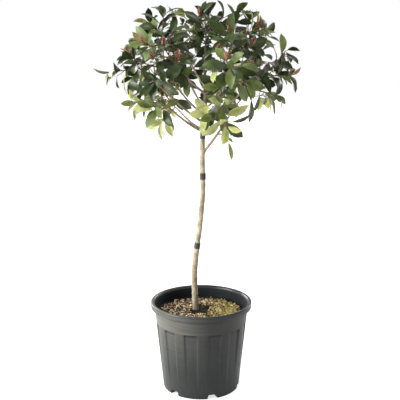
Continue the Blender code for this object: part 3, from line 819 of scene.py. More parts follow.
stemPlan = {
    # height, x, y and radius, as the solid has them
    "stations": (
        (0.2213, -0.0160, 0.0120, 0.0114),
        (0.2360, -0.0163, 0.0120, 0.0093),
        (0.2900, -0.0192, 0.0110, 0.0087),
        (0.3600, -0.0190, 0.0090, 0.0084),
        (0.4300, -0.0115, 0.0060, 0.0081),
        (0.5080, -0.0022, 0.0020, 0.0079),
        (0.6000, 0.0050, 0.0000, 0.0077),
        (0.6950, 0.0030, -0.0010, 0.0076),
        (0.7640, 0.0050, 0.0000, 0.0065),
        (0.8400, 0.0114, 0.0020, 0.0052),
        (0.9200, 0.0100, 0.0030, 0.0040),
        (1.0000, 0.0120, 0.0040, 0.0028),
    ),
    "flare": ((0.0, 0.0), (0.002, 0.30), (0.004, 0.52), (0.0065, 0.72), (0.009, 0.86), (0.012, 0.95)),
    "step": 0.036,  # between the points of the solid's own line
    "ringStep": 0.0019,
    "columns": 44,
    "crustTop": 0.47,  # below this the bark is cracked and warty
    "crustFade": 0.14,
    "crackDepth": 0.00055,
    "crackGrain": (260.0, 260.0, 70.0),
    "crackSlope": 4.0,
    "lumpDepth": 0.00065,
    "lumpGrain": 48.0,
    "wartRise": 0.0022,
    "wartGrain": 190.0,
    "wartFrom": 0.12,
    "ringDepth": 0.00022,
    "ringGrain": (30.0, 30.0, 520.0),
    "ringFrom": 0.1,
    "knots": 11,
    "knotsFrom": 0.262,
    "knotsTo": 0.690,
    "knotPlay": (0.15, 0.85),  # within its own length of the stem
    "knotTurn": 137.5,
    "knotTurnPlay": 20.0,
    "knotSizes": (0.55, 1.15),
    "knotDent": (0.55, 3.2),  # how deep the scar's middle is sunk, and how small it is
    "knotRise": 0.0021,
    "knotSize": 0.0062,
    "seed": 12,
}


def stemAt(height):
    stations = stemPlan["stations"]
    last = len(stations) - 2
    k = next((n for n in range(last) if height <= stations[n + 1][0]), last)
    a, b = stations[k], stations[k + 1]
    before, after = stations[max(0, k - 1)], stations[min(last + 1, k + 2)]
    span = b[0] - a[0]
    t = (height - a[0]) / span
    values = []
    for n in (1, 2, 3):
        slopeA = (b[n] - before[n]) / (b[0] - before[0])
        slopeB = (after[n] - a[n]) / (after[0] - a[0])
        values.append((2 * t ** 3 - 3 * t ** 2 + 1) * a[n] + (t ** 3 - 2 * t ** 2 + t) * span * slopeA
                      + (3 * t ** 2 - 2 * t ** 3) * b[n] + (t ** 3 - t ** 2) * span * slopeB)
    return Vector((values[0], values[1], height)), values[2]


def stemPath(low, high):
    count = max(2, round((high - low) / stemPlan["step"]) + 1)
    found = [stemAt(low + (high - low) * k / (count - 1)) for k in range(count)]
    return [point for point, _ in found], [radius for _, radius in found]


def barkedTube(line, radii, columns, relief):
    # a closed tube whose surface is moved out by relief(point)
    points = []
    side = (line[1] - line[0]).normalized().orthogonal().normalized()
    for k, (point, radius) in enumerate(zip(line, radii)):
        axis = (line[min(k + 1, len(line) - 1)] - line[max(k - 1, 0)]).normalized()
        side = (side - axis * side.dot(axis)).normalized()
        other = axis.cross(side)
        for n in range(columns):
            angle = 2 * math.pi * n / columns
            out = side * math.cos(angle) + other * math.sin(angle)
            points.append(point + out * (radius + relief(point + out * radius)))
    foot, end = range(columns), range(len(points) - columns, len(points))
    return points, tubeFaces(columns, len(line)) + [tuple(reversed(foot)), tuple(end)]


def stemKnots():
    # small scars of the side shoots that were cut off
    p = stemPlan
    rng = random.Random(p["seed"])
    knots = []
    for k in range(p["knots"]):
        share = (k + rng.uniform(*p["knotPlay"])) / p["knots"]
        point, radius = stemAt(between(p["knotsFrom"], p["knotsTo"], share))
        angle = math.radians(p["knotTurn"] * k + rng.uniform(-p["knotTurnPlay"], p["knotTurnPlay"]))
        out = Vector((math.cos(angle), math.sin(angle), 0.0))
        knots.append((point + out * radius, rng.uniform(*p["knotSizes"])))
    return knots


def stemRelief(knots):
    p = stemPlan

    def relief(point):
        # lumps and knots all the way up; warts and cracks mostly in the crust, and fine rings across
        crust = unit((p["crustTop"] - point.z) / p["crustFade"])
        lump = roughAt(point, p["lumpGrain"]) * p["lumpDepth"] * between(0.55, 1.0, crust)
        wart = max(0.0, roughAt(point, p["wartGrain"]) - p["wartFrom"]) * p["wartRise"] * (0.12 + crust)
        crack = min(1.0, abs(roughAt(point, p["crackGrain"])) * p["crackSlope"])
        groove = -p["crackDepth"] * (1.0 - crack) * between(0.20, 1.0, crust)
        ring = -p["ringDepth"] * max(0.0, roughAt(point, p["ringGrain"]) - p["ringFrom"])
        sunk, small = p["knotDent"]
        scar = 0.0
        for place, size in knots:
            away = (point - place).length / (p["knotSize"] * size)
            if away < 1.0:
                dent = 1.0 - sunk * max(0.0, 1.0 - away * small)
                scar += p["knotRise"] * size * (1.0 - away * away) ** 2 * dent
        return lump + wart + groove + ring + scar

    return relief


# Colours, and the ranges that they lie over: from, to and, where they aren't 0 and 1, what these turn into.
barkLook = {
    "skin": ((0.32, "7c705c"), (0.47, "a4987f"), (0.60, "bdb299"), (0.74, "d2cab8")),
    "freckles": (0.57, 0.66, 0.0, 0.75),
    "freckleColour": "665543",
    "rings": (0.63, 0.68, 0.0, 0.60),
    "ringColour": "6f5f4b",
    "cracks": (0.50, 0.60),
    "crustBelow": (0.48, 0.30, 0.0, 0.62),
    "crustColour": "6b583f",
    # painted shade: the stem darkens within the crown, where the leaves shade it
    "crownShade": (0.765, 0.80, 0.0, 0.72),
    "crownShadeColour": "4a4236",
    "grains": {"skin": (38.0, 5.0, 0.65), "freckles": ((230.0, 230.0, 560.0), 3.0, 0.5),
               "fissures": ((300.0, 300.0, 110.0),), "rings": ((9.0, 9.0, 330.0), 2.0, 0.4)},
    "bumps": {"fissures": (0.55, 0.0007), "freckles": (0.35, 0.0005), "rings": (0.45, 0.0006)},
}

# Young photinia bark: a thin grey-beige skin with dark rings about 3 mm apart and freckles, crusted and
# browner towards the foot. Matt.
bark, tree, surface, place = newMaterial("greyBeigeBark", Roughness=0.82)
look = barkLook
grains, bumps = look["grains"], look["bumps"]
height = addNode(tree, "ShaderNodeSeparateXYZ", {0: place}).outputs["Z"]
_, skin = grained(tree, place, look["skin"], *grains["skin"])
fissures, freckles, rings = (noiseAt(tree, place, *grains[key]) for key in ("fissures", "freckles", "rings"))
crust = mask(tree, (fissures, *look["cracks"]), (height, *look["crustBelow"]))
# the last layer is painted shade within the crown
painted = layered(tree, skin, (mask(tree, (freckles, *look["freckles"])), look["freckleColour"]),
                  (mask(tree, (rings, *look["rings"])), look["ringColour"]), (crust, look["crustColour"]),
                  (mask(tree, (height, *look["crownShade"])), look["crownShadeColour"]))
finish(tree, surface, painted, (fissures, *bumps["fissures"]), (freckles, *bumps["freckles"]),
       (rings, *bumps["rings"]))

foot, wall, *_, top = stemPlan["stations"]
hoops = round((top[0] - wall[0]) / stemPlan["ringStep"])
stemLine = [stemAt(wall[0] + (top[0] - wall[0]) * k / hoops) for k in range(hoops + 1)]
footPoint, footRadius = stemLine[0]
stemLine = [(Vector((footPoint.x, footPoint.y, foot[0] + rise)), between(foot[3], footRadius, share))
            for rise, share in stemPlan["flare"]] + stemLine
points, faces = barkedTube(*zip(*stemLine), stemPlan["columns"], stemRelief(stemKnots()))
newPiece("stemBark", meshFrom("stemBark", points, faces), [bark], ["stem"], 60.0)


# The tape that is wound round the stem

tapePlan = {
    "tape_low": {"height": 0.430, "width": 0.018, "turns": 3, "start": 40.0},
    "tape_middle": {"height": 0.637, "width": 0.019, "turns": 3, "start": 200.0},
    "tape_top": {"height": 0.753, "width": 0.017, "turns": 3, "start": 100.0},
}
tapeBuild = {"clear": 0.0009, "thickness": 0.0011, "ply": 0.00042, "rim": 0.00022, "rimAt": 0.08,
             "rimWidth": 0.06, "waver": 0.0006, "waverGrain": (1.7, 1.7, 1.0), "edge": 0.0006,
             "crease": 0.00012, "creaseGrain": (3.0, 900.0, 1.0), "columns": 56, "rows": 30}

# Stretch tying tape, soft black PVC: dull and greenish black, creased along the pull.
tyingTape = grainedMaterial("softPvcTape", ((0.30, "1c1f1c"), (0.70, "353932")),
                            ((60.0, 60.0, 700.0), 3.0, 0.5), (0.5, 0.0006), Roughness=0.55, IOR=1.53)


def tapeBand(plan):
    # overlapping turns: each laps over the last along a slanting edge, and the band's ends waver
    b, high, width = tapeBuild, plan["height"], plan["width"]
    middle, radius = stemAt(high)
    up = stemAt(high + width / 2)[0] - stemAt(high - width / 2)[0]
    placing = Matrix.Translation(middle) @ up.to_track_quat("Z", "Y").to_matrix().to_4x4()
    bare = radius + b["clear"]
    turns = [2 * math.pi * k / b["columns"] for k in range(b["columns"])]
    rings = []
    for row in range(b["rows"]):
        share = row / (b["rows"] - 1)
        for angle in turns:
            lap = (share * plan["turns"] + angle / (2 * math.pi) + plan["start"] / 360.0) % 1.0
            waver = roughAt((math.cos(angle), math.sin(angle), high * 90.0 + round(share)), b["waverGrain"])
            z = width * (share - 0.5) + b["waver"] * waver * (2 * abs(share - 0.5))
            ridge = b["ply"] * (1.0 - lap) + b["rim"] * math.exp(-((lap - b["rimAt"]) / b["rimWidth"]) ** 2)
            edge = 0.0 if 0 < row < b["rows"] - 1 else -b["edge"]
            crease = b["crease"] * roughAt((angle, z, 0.0), b["creaseGrain"])
            rings.append((bare + ridge + edge + crease, angle, z))
    for z in (width / 2, -width / 2):
        rings += [(bare - b["thickness"], angle, z) for angle in turns]
    points = [placing @ Vector((out * math.cos(angle), out * math.sin(angle), z)) for out, angle, z in rings]
    return meshFrom("tape", points, tubeFaces(b["columns"], b["rows"] + 2, closed=True))


for name, plan in tapePlan.items():
    newPiece(name.replace("tape_", "wound_"), tapeBand(plan), [tyingTape], [name], 40.0)


# The crown's plan, as the solids were grown: boughs in tiers, each with a mass that keeps to its own space

crownPlan = {
    "seed": 120,
    "clear": 0.0003,
    "heart": Vector((0.004, 0.0, 0.860)),
    "heartReach": 0.080,
    "tiers": (
        {"name": "low", "count": 5, "azimuth": -8.0, "feet": (0.702, 0.778, 0.770, 0.766, 0.782),
         "reach": 0.096, "tip": 0.822, "radius": 0.0043,
         "leader": 0.100, "lift": 0.35, "shoots": 5, "hang": 0.32},
        {"name": "middle", "count": 6, "azimuth": -6.0, "feet": (0.790, 0.812, 0.832),
         "reach": 0.110, "tip": 0.884, "radius": 0.0038,
         "leader": 0.128, "lift": 0.18, "shoots": 6, "hang": 0.37},
        {"name": "upper", "count": 4, "azimuth": 32.0, "feet": (0.872, 0.896),
         "reach": 0.094, "tip": 0.961, "radius": 0.0031,
         "leader": 0.101, "lift": 0.23, "shoots": 6, "hang": 0.06},
    ),
    "topMass": {"name": "top", "leader": 0.044, "lift": 0.0, "shoots": 5, "hang": 0.0},
    "azimuthPlay": 6.0,
    "reachPlay": (0.92, 1.08),
    "tipPlay": 0.014,
    "boughTip": 0.0022,
    "boughSag": 0.006,
    "boughPoints": 5,
    "stemFrom": 0.70,  # above this height leaves keep off the stem
}
shootPlan = {
    "spaceGap": 0.0004,
    "limbGap": 0.0012,
    "leaderPoints": 4,
    "length": (0.060, 0.088),
    "from": 0.12,  # where along its leader the first shoot leaves, and over what share the rest follow
    "over": 0.76,
    "spread": (38.0, 58.0),
    "goldenTurn": 137.5,
    "turnPlay": 15.0,
    "lift": 0.25,
    "bare": 0.34,  # the share of a shoot below its first leaf
    "leaderBare": 0.57,
    "points": 3,
    "radius": 0.0019,
    "tipRadius": 0.0008,
    "leaves": 6,
}
leafPlan = {
    "length": (0.064, 0.082),
    "shorter": 0.25,  # by this share towards the shoot's end
    "widthShare": 0.40,
    "thickShare": 0.012,
    "fold": 0.22,
    "outline": ((0.0, 0.0), (0.30, 0.78), (0.66, 1.0), (1.0, 0.0), (0.66, -1.0), (0.30, -0.78)),
    "droop": (0.08, 0.20),
    "lastAt": 0.97,
    "spread": 80.0,  # degrees from the shoot, and how much less at its end
    "closer": 42.0,
    "spreadPlay": 8.0,
    "tries": 6,  # each further to one side or the other and a little smaller
    "sideStep": 24.0,
    "shrink": 0.04,
    "limbGap": 0.0015,  # on top of the gap that shoots keep
}


def growingLine(start, heading, growth, length, lift, count):
    line = [start]
    for k in range(1, count):
        t = k / (count - 1)
        way = heading.lerp(growth, t).normalized() + Vector((0.0, 0.0, lift * t))
        line.append(line[-1] + way.normalized() * length / (count - 1))
    return line


def planMass(name, limbLine, habit):
    tip = limbLine[-1]
    heading = (tip - limbLine[-2]).normalized()
    growth = (heading + (tip - crownPlan["heart"]).normalized()).normalized()
    leader = growingLine(tip + heading * crownPlan["clear"], heading, growth, habit["leader"], habit["lift"],
                         shootPlan["leaderPoints"])
    return {"name": name, "leader": leader, "growth": growth, "heart": tip + growth * crownPlan["heartReach"],
            "shoots": habit["shoots"], "hang": habit["hang"]}


def planLimbs():
    c = crownPlan
    rng = random.Random(c["seed"])
    limbs, masses = [], []
    for tier in c["tiers"]:
        for k in range(tier["count"]):
            play = rng.uniform(-c["azimuthPlay"], c["azimuthPlay"])
            turn = tier["azimuth"] + 360.0 * k / tier["count"] + play
            foot, _ = stemAt(tier["feet"][k % len(tier["feet"])])
            reach = tier["reach"] * rng.uniform(*c["reachPlay"])
            tip = foot + Matrix.Rotation(math.radians(turn), 3, "Z") @ Vector((reach, 0.0, 0.0))
            tip.z = tier["tip"] + rng.uniform(-c["tipPlay"], c["tipPlay"])
            line, radii = [], []
            for n in range(c["boughPoints"]):
                t = n / (c["boughPoints"] - 1)
                point = foot.lerp(tip, t)
                point.z -= c["boughSag"] * 4 * t * (1 - t)
                line.append(point)
                radii.append(between(tier["radius"], c["boughTip"], t))
            name = f"{tier['name']}_{k + 1}"
            limbs.append({"name": "bough_" + name, "line": line, "radii": radii})
            masses.append(planMass("foliage_" + name, line, tier))
    path, radii = stemPath(c["stemFrom"], stemPlan["stations"][-1][0])
    limbs.append({"name": "stem", "line": path, "radii": radii})
    masses.append(planMass("foliage_top", path, c["topMass"]))
    return limbs, masses


def pointOn(line, share):
    last = len(line) - 1
    k = min(last - 1, int(share * last))
    along = line[k + 1] - line[k]
    return line[k] + along * (share * last - k), along.normalized()


def leaning(axis, about, turn, spread):
    # a way that leaves the axis by spread, turned about another axis, both in radians
    out = Matrix.Rotation(turn, 3, about) @ about.orthogonal().normalized()
    return axis * math.cos(spread) + out * math.sin(spread)


def inSpace(point, mass, masses):
    own = (point - mass["heart"]).length_squared
    for other in masses:
        if other is mass:
            continue
        apart = (other["heart"] - mass["heart"]).length
        if ((point - other["heart"]).length_squared - own) / (2 * apart) < shootPlan["spaceGap"]:
            return False
    return True


def offLimbs(point, radius, limbs):
    for limb in limbs:
        line = limb["line"]
        for a, b, thick in zip(line, line[1:], limb["radii"]):
            along = b - a
            t = unit((point - a).dot(along) / along.length_squared)
            if (point - a - along * t).length < thick + radius + shootPlan["limbGap"]:
                return False
    return True


def leafPoints(leaf):
    # the solid's leaf: its outline, and last the midrib's low point
    root, along, across, up = (leaf[key] for key in ("root", "along", "across", "up"))
    length, droop = leaf["length"], leaf["droop"]
    half = length * leafPlan["widthShare"] / 2
    points = []
    for share, side in leafPlan["outline"]:
        rise = abs(side) * half * leafPlan["fold"] - droop * length * share * share
        points.append(root + along * length * share + across * half * side + up * rise)
    return points + [root + along * length * 0.5 - up * length * (leafPlan["thickShare"] + droop * 0.25)]


leafFaces = [(0, 5, 1), (5, 2, 1), (5, 4, 2), (4, 3, 2)] + [(k, (k + 1) % 6, 6) for k in range(6)]


def leafFits(leaf, mass, masses, limbs, kept):
    points = leafPoints(leaf)
    if not all(inSpace(point, mass, masses) for point in points[1:]):
        return False
    for edge in points[1:]:
        for share in (0.5, 0.75, 1.0):
            if not offLimbs(points[0].lerp(edge, share), leafPlan["limbGap"], limbs):
                return False
    leaf["tree"] = BVHTree.FromPolygons(points, leafFaces)
    return not any(leaf["tree"].overlap(other["tree"]) for other in kept)


def leafOn(point, axis, turn, spread, length, hang, droop):
    along = leaning(axis, axis, math.radians(turn), math.radians(spread))
    along = (along - Vector((0.0, 0.0, hang))).normalized()
    across = axis.cross(along).normalized()
    up = along.cross(across)
    if up.dot(axis) < 0:
        across, up = -across, -up
    return {"root": point, "along": along, "across": across, "up": up, "length": length, "droop": droop}


def asideBy(step, n):
    # to one side and the other in turn, a step further each time
    return (n + 1) // 2 * step * (-1) ** n


def leavesOf(line, low, mass, masses, limbs, kept, rng):
    p = leafPlan
    turn = rng.uniform(0.0, 360.0)
    count = shootPlan["leaves"]
    for k in range(count):
        rise = k / (count - 1)
        point, axis = pointOn(line, between(low, p["lastAt"], rise))
        turn += shootPlan["goldenTurn"]
        length = rng.uniform(*p["length"]) * (1.0 - p["shorter"] * rise)
        droop = rng.uniform(*p["droop"])
        for n in range(p["tries"]):
            spread = p["spread"] - p["closer"] * rise + rng.uniform(-p["spreadPlay"], p["spreadPlay"])
            aside = turn + asideBy(p["sideStep"], n)
            leaf = leafOn(point, axis, aside, spread, length * (1.0 - p["shrink"] * n), mass["hang"], droop)
            if leafFits(leaf, mass, masses, limbs, kept):
                kept.append(leaf)
                break


def growMass(mass, masses, limbs, rng):
    p = shootPlan
    leader, growth = mass["leader"], mass["growth"]
    lines = [leader]
    for k in range(mass["shoots"]):
        turn = math.radians(p["goldenTurn"] * k + rng.uniform(-p["turnPlay"], p["turnPlay"]))
        lean = math.radians(rng.uniform(*p["spread"]))
        start, axis = pointOn(leader, p["from"] + p["over"] * k / mass["shoots"])
        heading = leaning(axis, growth, turn, lean).normalized()
        line = growingLine(start, heading, heading, rng.uniform(*p["length"]), p["lift"], p["points"])
        if all(inSpace(point, mass, masses) and offLimbs(point, p["radius"], limbs) for point in line[1:]):
            lines.append(line)
    twigs = []
    for line in lines:
        first = crownPlan["boughTip"] if line is leader else p["radius"]
        last = len(line) - 1
        radii = [first + (p["tipRadius"] - first) * n / last for n in range(last + 1)]
        twigs.append({"line": line, "radii": radii})
    leaves = []
    for line in reversed(lines):
        low = p["leaderBare"] if line is leader else p["bare"]
        others = [twig for twig in twigs if twig["line"] is not line]
        grown = len(leaves)
        leavesOf(line, low, mass, masses, limbs + others, leaves, rng)
        for leaf in leaves[grown:]:
            leaf["shoot"] = lines.index(line)
    return twigs, leaves


# What grows finer than the solids: side sprays, rosettes at the shoots' ends, and the red young tips

sprayPlan = {
    "seed": 404,
    "sideTwigs": (0.30, 0.52, 0.74),  # where they may leave a shoot
    "sideShare": (0.66, 0.40),  # how many of them grow, at the crown's foot and at its top
    "sideLength": (0.020, 0.034),
    "sideSpread": (38.0, 60.0),
    "sideLift": 0.3,
    "sideRadii": (0.0010, 0.00085, 0.0007),
    "sideLeaves": ((0.55, 62.0), (0.97, 50.0)),  # where each grows, and how far it spreads
    "sideLeafLength": (0.044, 0.064),
    "rosette": 2,
    "rosetteLength": (0.040, 0.058),
    "rosetteSpread": 50.0,
    "spreadPlay": 9.0,
    "droop": (0.05, 0.20),
    "tries": 4,
    "sideStep": 31.0,
    "tipAbove": 0.920,
    "tipShare": 0.54,
    "tipLength": (0.026, 0.042),
    "tipShorter": 0.10,  # each than the one before
    "tipSpread": (22.5, 17.0, 11.5),
    "tipUp": 0.9,
    "tipDroop": -0.12,
    "tipBlade": {"width": 0.31, "fold": 0.8, "start": 0.0},
    "bronzeShare": 0.25,
    "reach": 0.004,  # past the solids' box
}
# share of the leaves that are yellow-green and fresh green, low in the crown and at its top; the lighter
# tints low in the crown are partly painted light, for leaves lit from below and from behind
tintPlan = {"yellow": (0.42, 0.03), "fresh": (0.56, 0.16), "low": 0.80, "high": 0.94,
            "alike": 0.45}  # and of a spray's leaves that take its own tint


def withinBox(points):
    slack = sprayPlan["reach"]
    return all(cadBox[0][n] - slack < point[n] < cadBox[1][n] + slack for point in points for n in range(3))


def riseAt(height):
    # 0 at the crown's foot and 1 near its top
    return unit((height - tintPlan["low"]) / (tintPlan["high"] - tintPlan["low"]))


def dealTint(height, rng):
    # the colour of one spray
    yellow, fresh = (between(*tintPlan[tint], riseAt(height)) for tint in ("yellow", "fresh"))
    draw = rng.random()
    return "yellow" if draw < yellow else "fresh" if draw < yellow + fresh else "deep"


def tryLeaf(point, axis, turn, spread, length, mass, world, kept, rng):
    # a leaf where one fits, or None
    p = sprayPlan
    masses, limbs = world
    for n in range(p["tries"]):
        away = spread + rng.uniform(-p["spreadPlay"], p["spreadPlay"])
        droop = rng.uniform(*p["droop"])
        leaf = leafOn(point, axis, turn + asideBy(p["sideStep"], n), away, length, mass["hang"], droop)
        if withinBox(leafPoints(leaf)) and leafFits(leaf, mass, masses, limbs, kept):
            kept.append(leaf)
            return leaf
    return None


def sideSpray(point, axis, turn, mass, world, leaves, rng):
    # a side twig and its small leaves, or nothing where none of them fits
    p = sprayPlan
    lean = math.radians(rng.uniform(*p["sideSpread"]))
    heading = leaning(axis, axis, math.radians(turn), lean).normalized()
    length = rng.uniform(*p["sideLength"])
    side = growingLine(point, heading, heading, length, p["sideLift"], len(p["sideRadii"]))
    tint = dealTint(point.z, rng)
    around = rng.uniform(0.0, 360.0)
    grown = []
    for at, spread in p["sideLeaves"]:
        root, way = pointOn(side, at)
        around += shootPlan["goldenTurn"]
        length = rng.uniform(*p["sideLeafLength"])
        leaf = tryLeaf(root, way, around, spread, length, mass, world, leaves, rng)
        if leaf:
            leaf["tint"] = tint
            grown = [{"line": side, "radii": list(p["sideRadii"])}]
    return grown


def growSprays(mass, masses, limbs, twigs, leaves, rng):
    # side twigs with small leaves, a rosette at each end, and red tips on a share of the upper shoots
    p = sprayPlan
    fine, tips = [], []
    world = (masses, limbs + twigs)
    for index, twig in enumerate(twigs):
        line = twig["line"]
        tint = dealTint(line[-1].z, rng)
        for leaf in leaves:
            if leaf.get("shoot") == index and "tint" not in leaf:
                leaf["tint"] = tint if rng.random() < tintPlan["alike"] else dealTint(leaf["root"].z, rng)
        turn = rng.uniform(0.0, 360.0)
        for share in p["sideTwigs"]:
            point, axis = pointOn(line, share)
            if rng.random() <= between(*p["sideShare"], riseAt(point.z)):
                turn += shootPlan["goldenTurn"]
                fine += sideSpray(point, axis, turn, mass, world, leaves, rng)
        end, axis = line[-1], (line[-1] - line[-2]).normalized()
        around = rng.uniform(0.0, 360.0)
        red = end.z > p["tipAbove"] and rng.random() < p["tipShare"]
        for _ in range(p["rosette"]):
            around += shootPlan["goldenTurn"]
            length = rng.uniform(*p["rosetteLength"])
            leaf = tryLeaf(end, axis, around, p["rosetteSpread"], length, mass, world, leaves, rng)
            if leaf:
                bronze = red and rng.random() < p["bronzeShare"]
                leaf["tint"] = "bronze" if bronze else tint
        if red:
            tips.append((end, axis))
    return fine, tips


# The thin twig that hangs from the low right bough: where it leaves, and its steps from there. Its leaves
# give the point they grow from, the way they point, their length, width share and tint.
hangingTwig = {
    "bough": "bough_low_1",
    "share": 0.46,
    "steps": ((0.013, -0.004, 0.002), (0.025, -0.007, -0.006), (0.032, -0.009, -0.019)),
    "radii": (0.00234, 0.0018, 0.00162, 0.00144),
    "bladeStart": 0.03,  # as a share of its leaf's length
    "droop": 0.12,
    "facing": (0.3, -1.0, 0.35),
    "leaves": ((3, (0.30, -0.05, -0.95), 0.055, 0.25, "fresh"),
               (2, (0.80, -0.20, -0.45), 0.027, 0.34, "fresh"),
               (1, (0.95, 0.10, 0.22), 0.032, 0.34, "yellow")),
}


def growHangingTwig(part):
    p = hangingTwig
    start, _ = pointOn(next(limb["line"] for limb in limbs if limb["name"] == p["bough"]), p["share"])
    line = [start] + [start + Vector(step) for step in p["steps"]]
    part["fine"].append({"line": line, "radii": list(p["radii"])})
    for at, way, length, width, tint in p["leaves"]:
        along = Vector(way).normalized()
        across = along.cross(Vector(p["facing"])).normalized()
        part["leaves"].append({"root": line[at], "along": along, "across": across, "up": across.cross(along),
                               "length": length, "width": width, "droop": p["droop"], "tint": tint,
                               "start": p["bladeStart"]})


limbs, masses = planLimbs()
ruleRng, sprayRng = random.Random(crownPlan["seed"]), random.Random(sprayPlan["seed"])
crown = []
for mass in masses:
    twigs, leaves = growMass(mass, masses, limbs, ruleRng)
    fine, tips = growSprays(mass, masses, limbs, twigs, leaves, sprayRng)
    crown.append({"twigs": twigs, "fine": fine, "leaves": leaves, "tips": tips})
growHangingTwig(crown[0])
leafCount, tipCount = (sum(len(part[key]) for part in crown) for key in ("leaves", "tips"))
print(f"crown grown: {leafCount} leaves, {tipCount} red tips")


# Boughs with their bark's relief

boughLook = {"steps": 7, "columns": 16, "collar": 0.45, "collarLength": 0.016, "hidden": 0.7,
             "lump": 0.00035, "lumpGrain": 120.0, "ring": 0.0004, "ringGrain": (60.0, 60.0, 330.0),
             "ringFrom": 0.15}


def boughRelief(point):
    ring = max(0.0, roughAt(point, boughLook["ringGrain"]) - boughLook["ringFrom"])
    return boughLook["lump"] * roughAt(point, boughLook["lumpGrain"]) + boughLook["ring"] * ring


boughs = [limb for limb in limbs if limb["name"] != "stem"]
boughPoints, boughFaces = [], []
for limb in boughs:
    line, radii = smoothLine(limb["line"], limb["radii"], boughLook["steps"])
    _, stemRadius = stemAt(line[0].z)
    walked, swollen = 0.0, []
    for k, radius in enumerate(radii):
        walked += (line[k] - line[k - 1]).length if k else 0.0
        out = max(0.0, 1.0 - max(0.0, walked - stemRadius * boughLook["hidden"]) / boughLook["collarLength"])
        swollen.append(radius * (1.0 + boughLook["collar"] * out * out))
    points, faces = barkedTube(line, swollen, boughLook["columns"], boughRelief)
    base = len(boughPoints)
    boughPoints += points
    boughFaces += [tuple(base + n for n in face) for face in faces]

# Bough bark: as the stem's, thinner and browner.
boughBark = grainedMaterial("brownBoughBark", ((0.32, "69584a"), (0.50, "94816b"), (0.68, "b4a48c")),
                            (75.0, 5.0, 0.65), (0.4, 0.0006), Roughness=0.74)
boughMesh = meshFrom("boughBark", boughPoints, boughFaces)
newPiece("boughBark", boughMesh, [boughBark], [limb["name"] for limb in boughs], 60.0)


# Twigs and leaf stalks, as curves given thickness by Geometry Nodes

# Geometry Nodes inputs of each kind of thread
threadSizes = {"leafyTwigs": {"Sides": 7, "Swell": 1.12}, "leafStalks": {"Sides": 5, "Swell": 1.0}}
twigSteps = 4
# The share of its leaf's length that a stalk takes, how far it runs on into the blade, where it bends and how
# much, and its radius: for no length at all, for each metre of its leaf, and along it.
stalkPlan = {"share": 0.13, "into": 0.03, "bendAt": 0.55, "bend": 0.06, "radius": 0.00051, "growth": 0.0051,
             "taper": (1.2, 1.0, 0.85)}


def threadMesh(name, threads):
    # every line as loose edges, with its thickness as an attribute
    points, edges, thick = [], [], []
    for line, radii in threads:
        base = len(points)
        points += line
        thick += radii
        edges += [(base + k, base + k + 1) for k in range(len(line) - 1)]
    mesh = meshFrom(name, points, (), edges=edges)
    mesh.attributes.new("thick", "FLOAT", "POINT").data.foreach_set("value", thick)
    return mesh


def threadTree(name, sizes, material):
    tree, given = nodeTree(name, sizes)
    thick = addNode(tree, "GeometryNodeInputNamedAttribute", {"Name": "thick"}, data_type="FLOAT")
    curve = addNode(tree, "GeometryNodeMeshToCurve", {"Mesh": given["Geometry"]})
    section = addNode(tree, "GeometryNodeCurvePrimitiveCircle", {"Resolution": given["Sides"], "Radius": 1.0})
    swollen = mask(tree, thick, given["Swell"])
    tube = addNode(tree, "GeometryNodeCurveToMesh",
                   {"Curve": curve, "Profile Curve": section, "Scale": swollen, "Fill Caps": True})
    smooth = addNode(tree, "GeometryNodeSetShadeSmooth", {"Geometry": tube})
    real = addNode(tree, "GeometryNodeRealizeInstances", {0: smooth})
    painted = addNode(tree, "GeometryNodeSetMaterial", {"Geometry": real, "Material": material})
    addNode(tree, "NodeGroupOutput", {0: painted})
    return tree


# Two-year twigs: brown-grey skin, a little waxy.
twigSkin = grainedMaterial("twigSkin", ((0.32, "4e3b2f"), (0.52, "775a48"), (0.70, "957a64")), (60.0,),
                           (0.3, 0.0004), Roughness=0.58)
# Leaf stalks: fleshy green with a red blush, waxy.
stalkSkin = grainedMaterial("leafStalk", ((0.38, "6a6b38"), (0.62, "75493a")), (45.0, 2.0), Roughness=0.45)


def stalkOf(leaf):
    p = stalkPlan
    root, along, up, length = (leaf[key] for key in ("root", "along", "up", "length"))
    middle = root + along * length * p["share"] * p["bendAt"] + up * length * p["share"] * p["bend"]
    end = root + along * length * (p["share"] + p["into"]) - up * leaf["droop"] * length * p["share"] ** 2
    return [root, middle, end], [(p["radius"] + p["growth"] * length) * share for share in p["taper"]]


shootThreads = [smoothLine(twig["line"], twig["radii"], twigSteps)
                for part in crown for twig in part["twigs"] + part["fine"]]
stalkThreads = [stalkOf(leaf) for part in crown for leaf in part["leaves"]]
foliageNodes = [mass["name"] for mass in masses]
for name, threads, skin, slot, replaced in (("leafyTwigs", shootThreads, twigSkin, "bark", foliageNodes),
                                            ("leafStalks", stalkThreads, stalkSkin, "leaf", ())):
    thicken = threadTree(name, threadSizes[name], skin)
    made = baked(threadMesh(name, threads), "NODES", threadSizes[name], node_group=thicken)
    newPiece(name, made, None, replaced)


# Leaves

bladePlan = {
    "rows": (0.0, 0.10, 0.26, 0.44, 0.62, 0.79, 0.92, 1.0),  # shares of the blade's length
    "widths": (0.05, 0.36, 0.73, 0.97, 0.98, 0.72, 0.28, 0.02),  # and of its half width there
    "columns": (-1.0, -0.52, -0.055, 0.055, 0.52, 1.0),
    "keel": (0.5, 1.0, 1.0, 1.0, 1.0, 0.8, 0.5, 0.15),  # shares of the thickness, row by row
    "thickness": 0.010,
    "groove": 0.006,
    "waves": 9.0,  # of its edge, in radians from its foot to its tip
    # dealt out leaf by leaf: the width's share of the length, the sides' fold, how far the blade turns down
    # from its root to its tip in radians, its wavy edge and where the waves start, and its bend to one side
    "width": (0.34, 0.42),
    "fold": (0.12, 0.34),
    "arch": (0.35, 1.25),
    "wave": (0.02, 0.10),
    "phase": (0.0, 6.28),
    "bend": (-0.10, 0.10),
    "seed": 77,
}
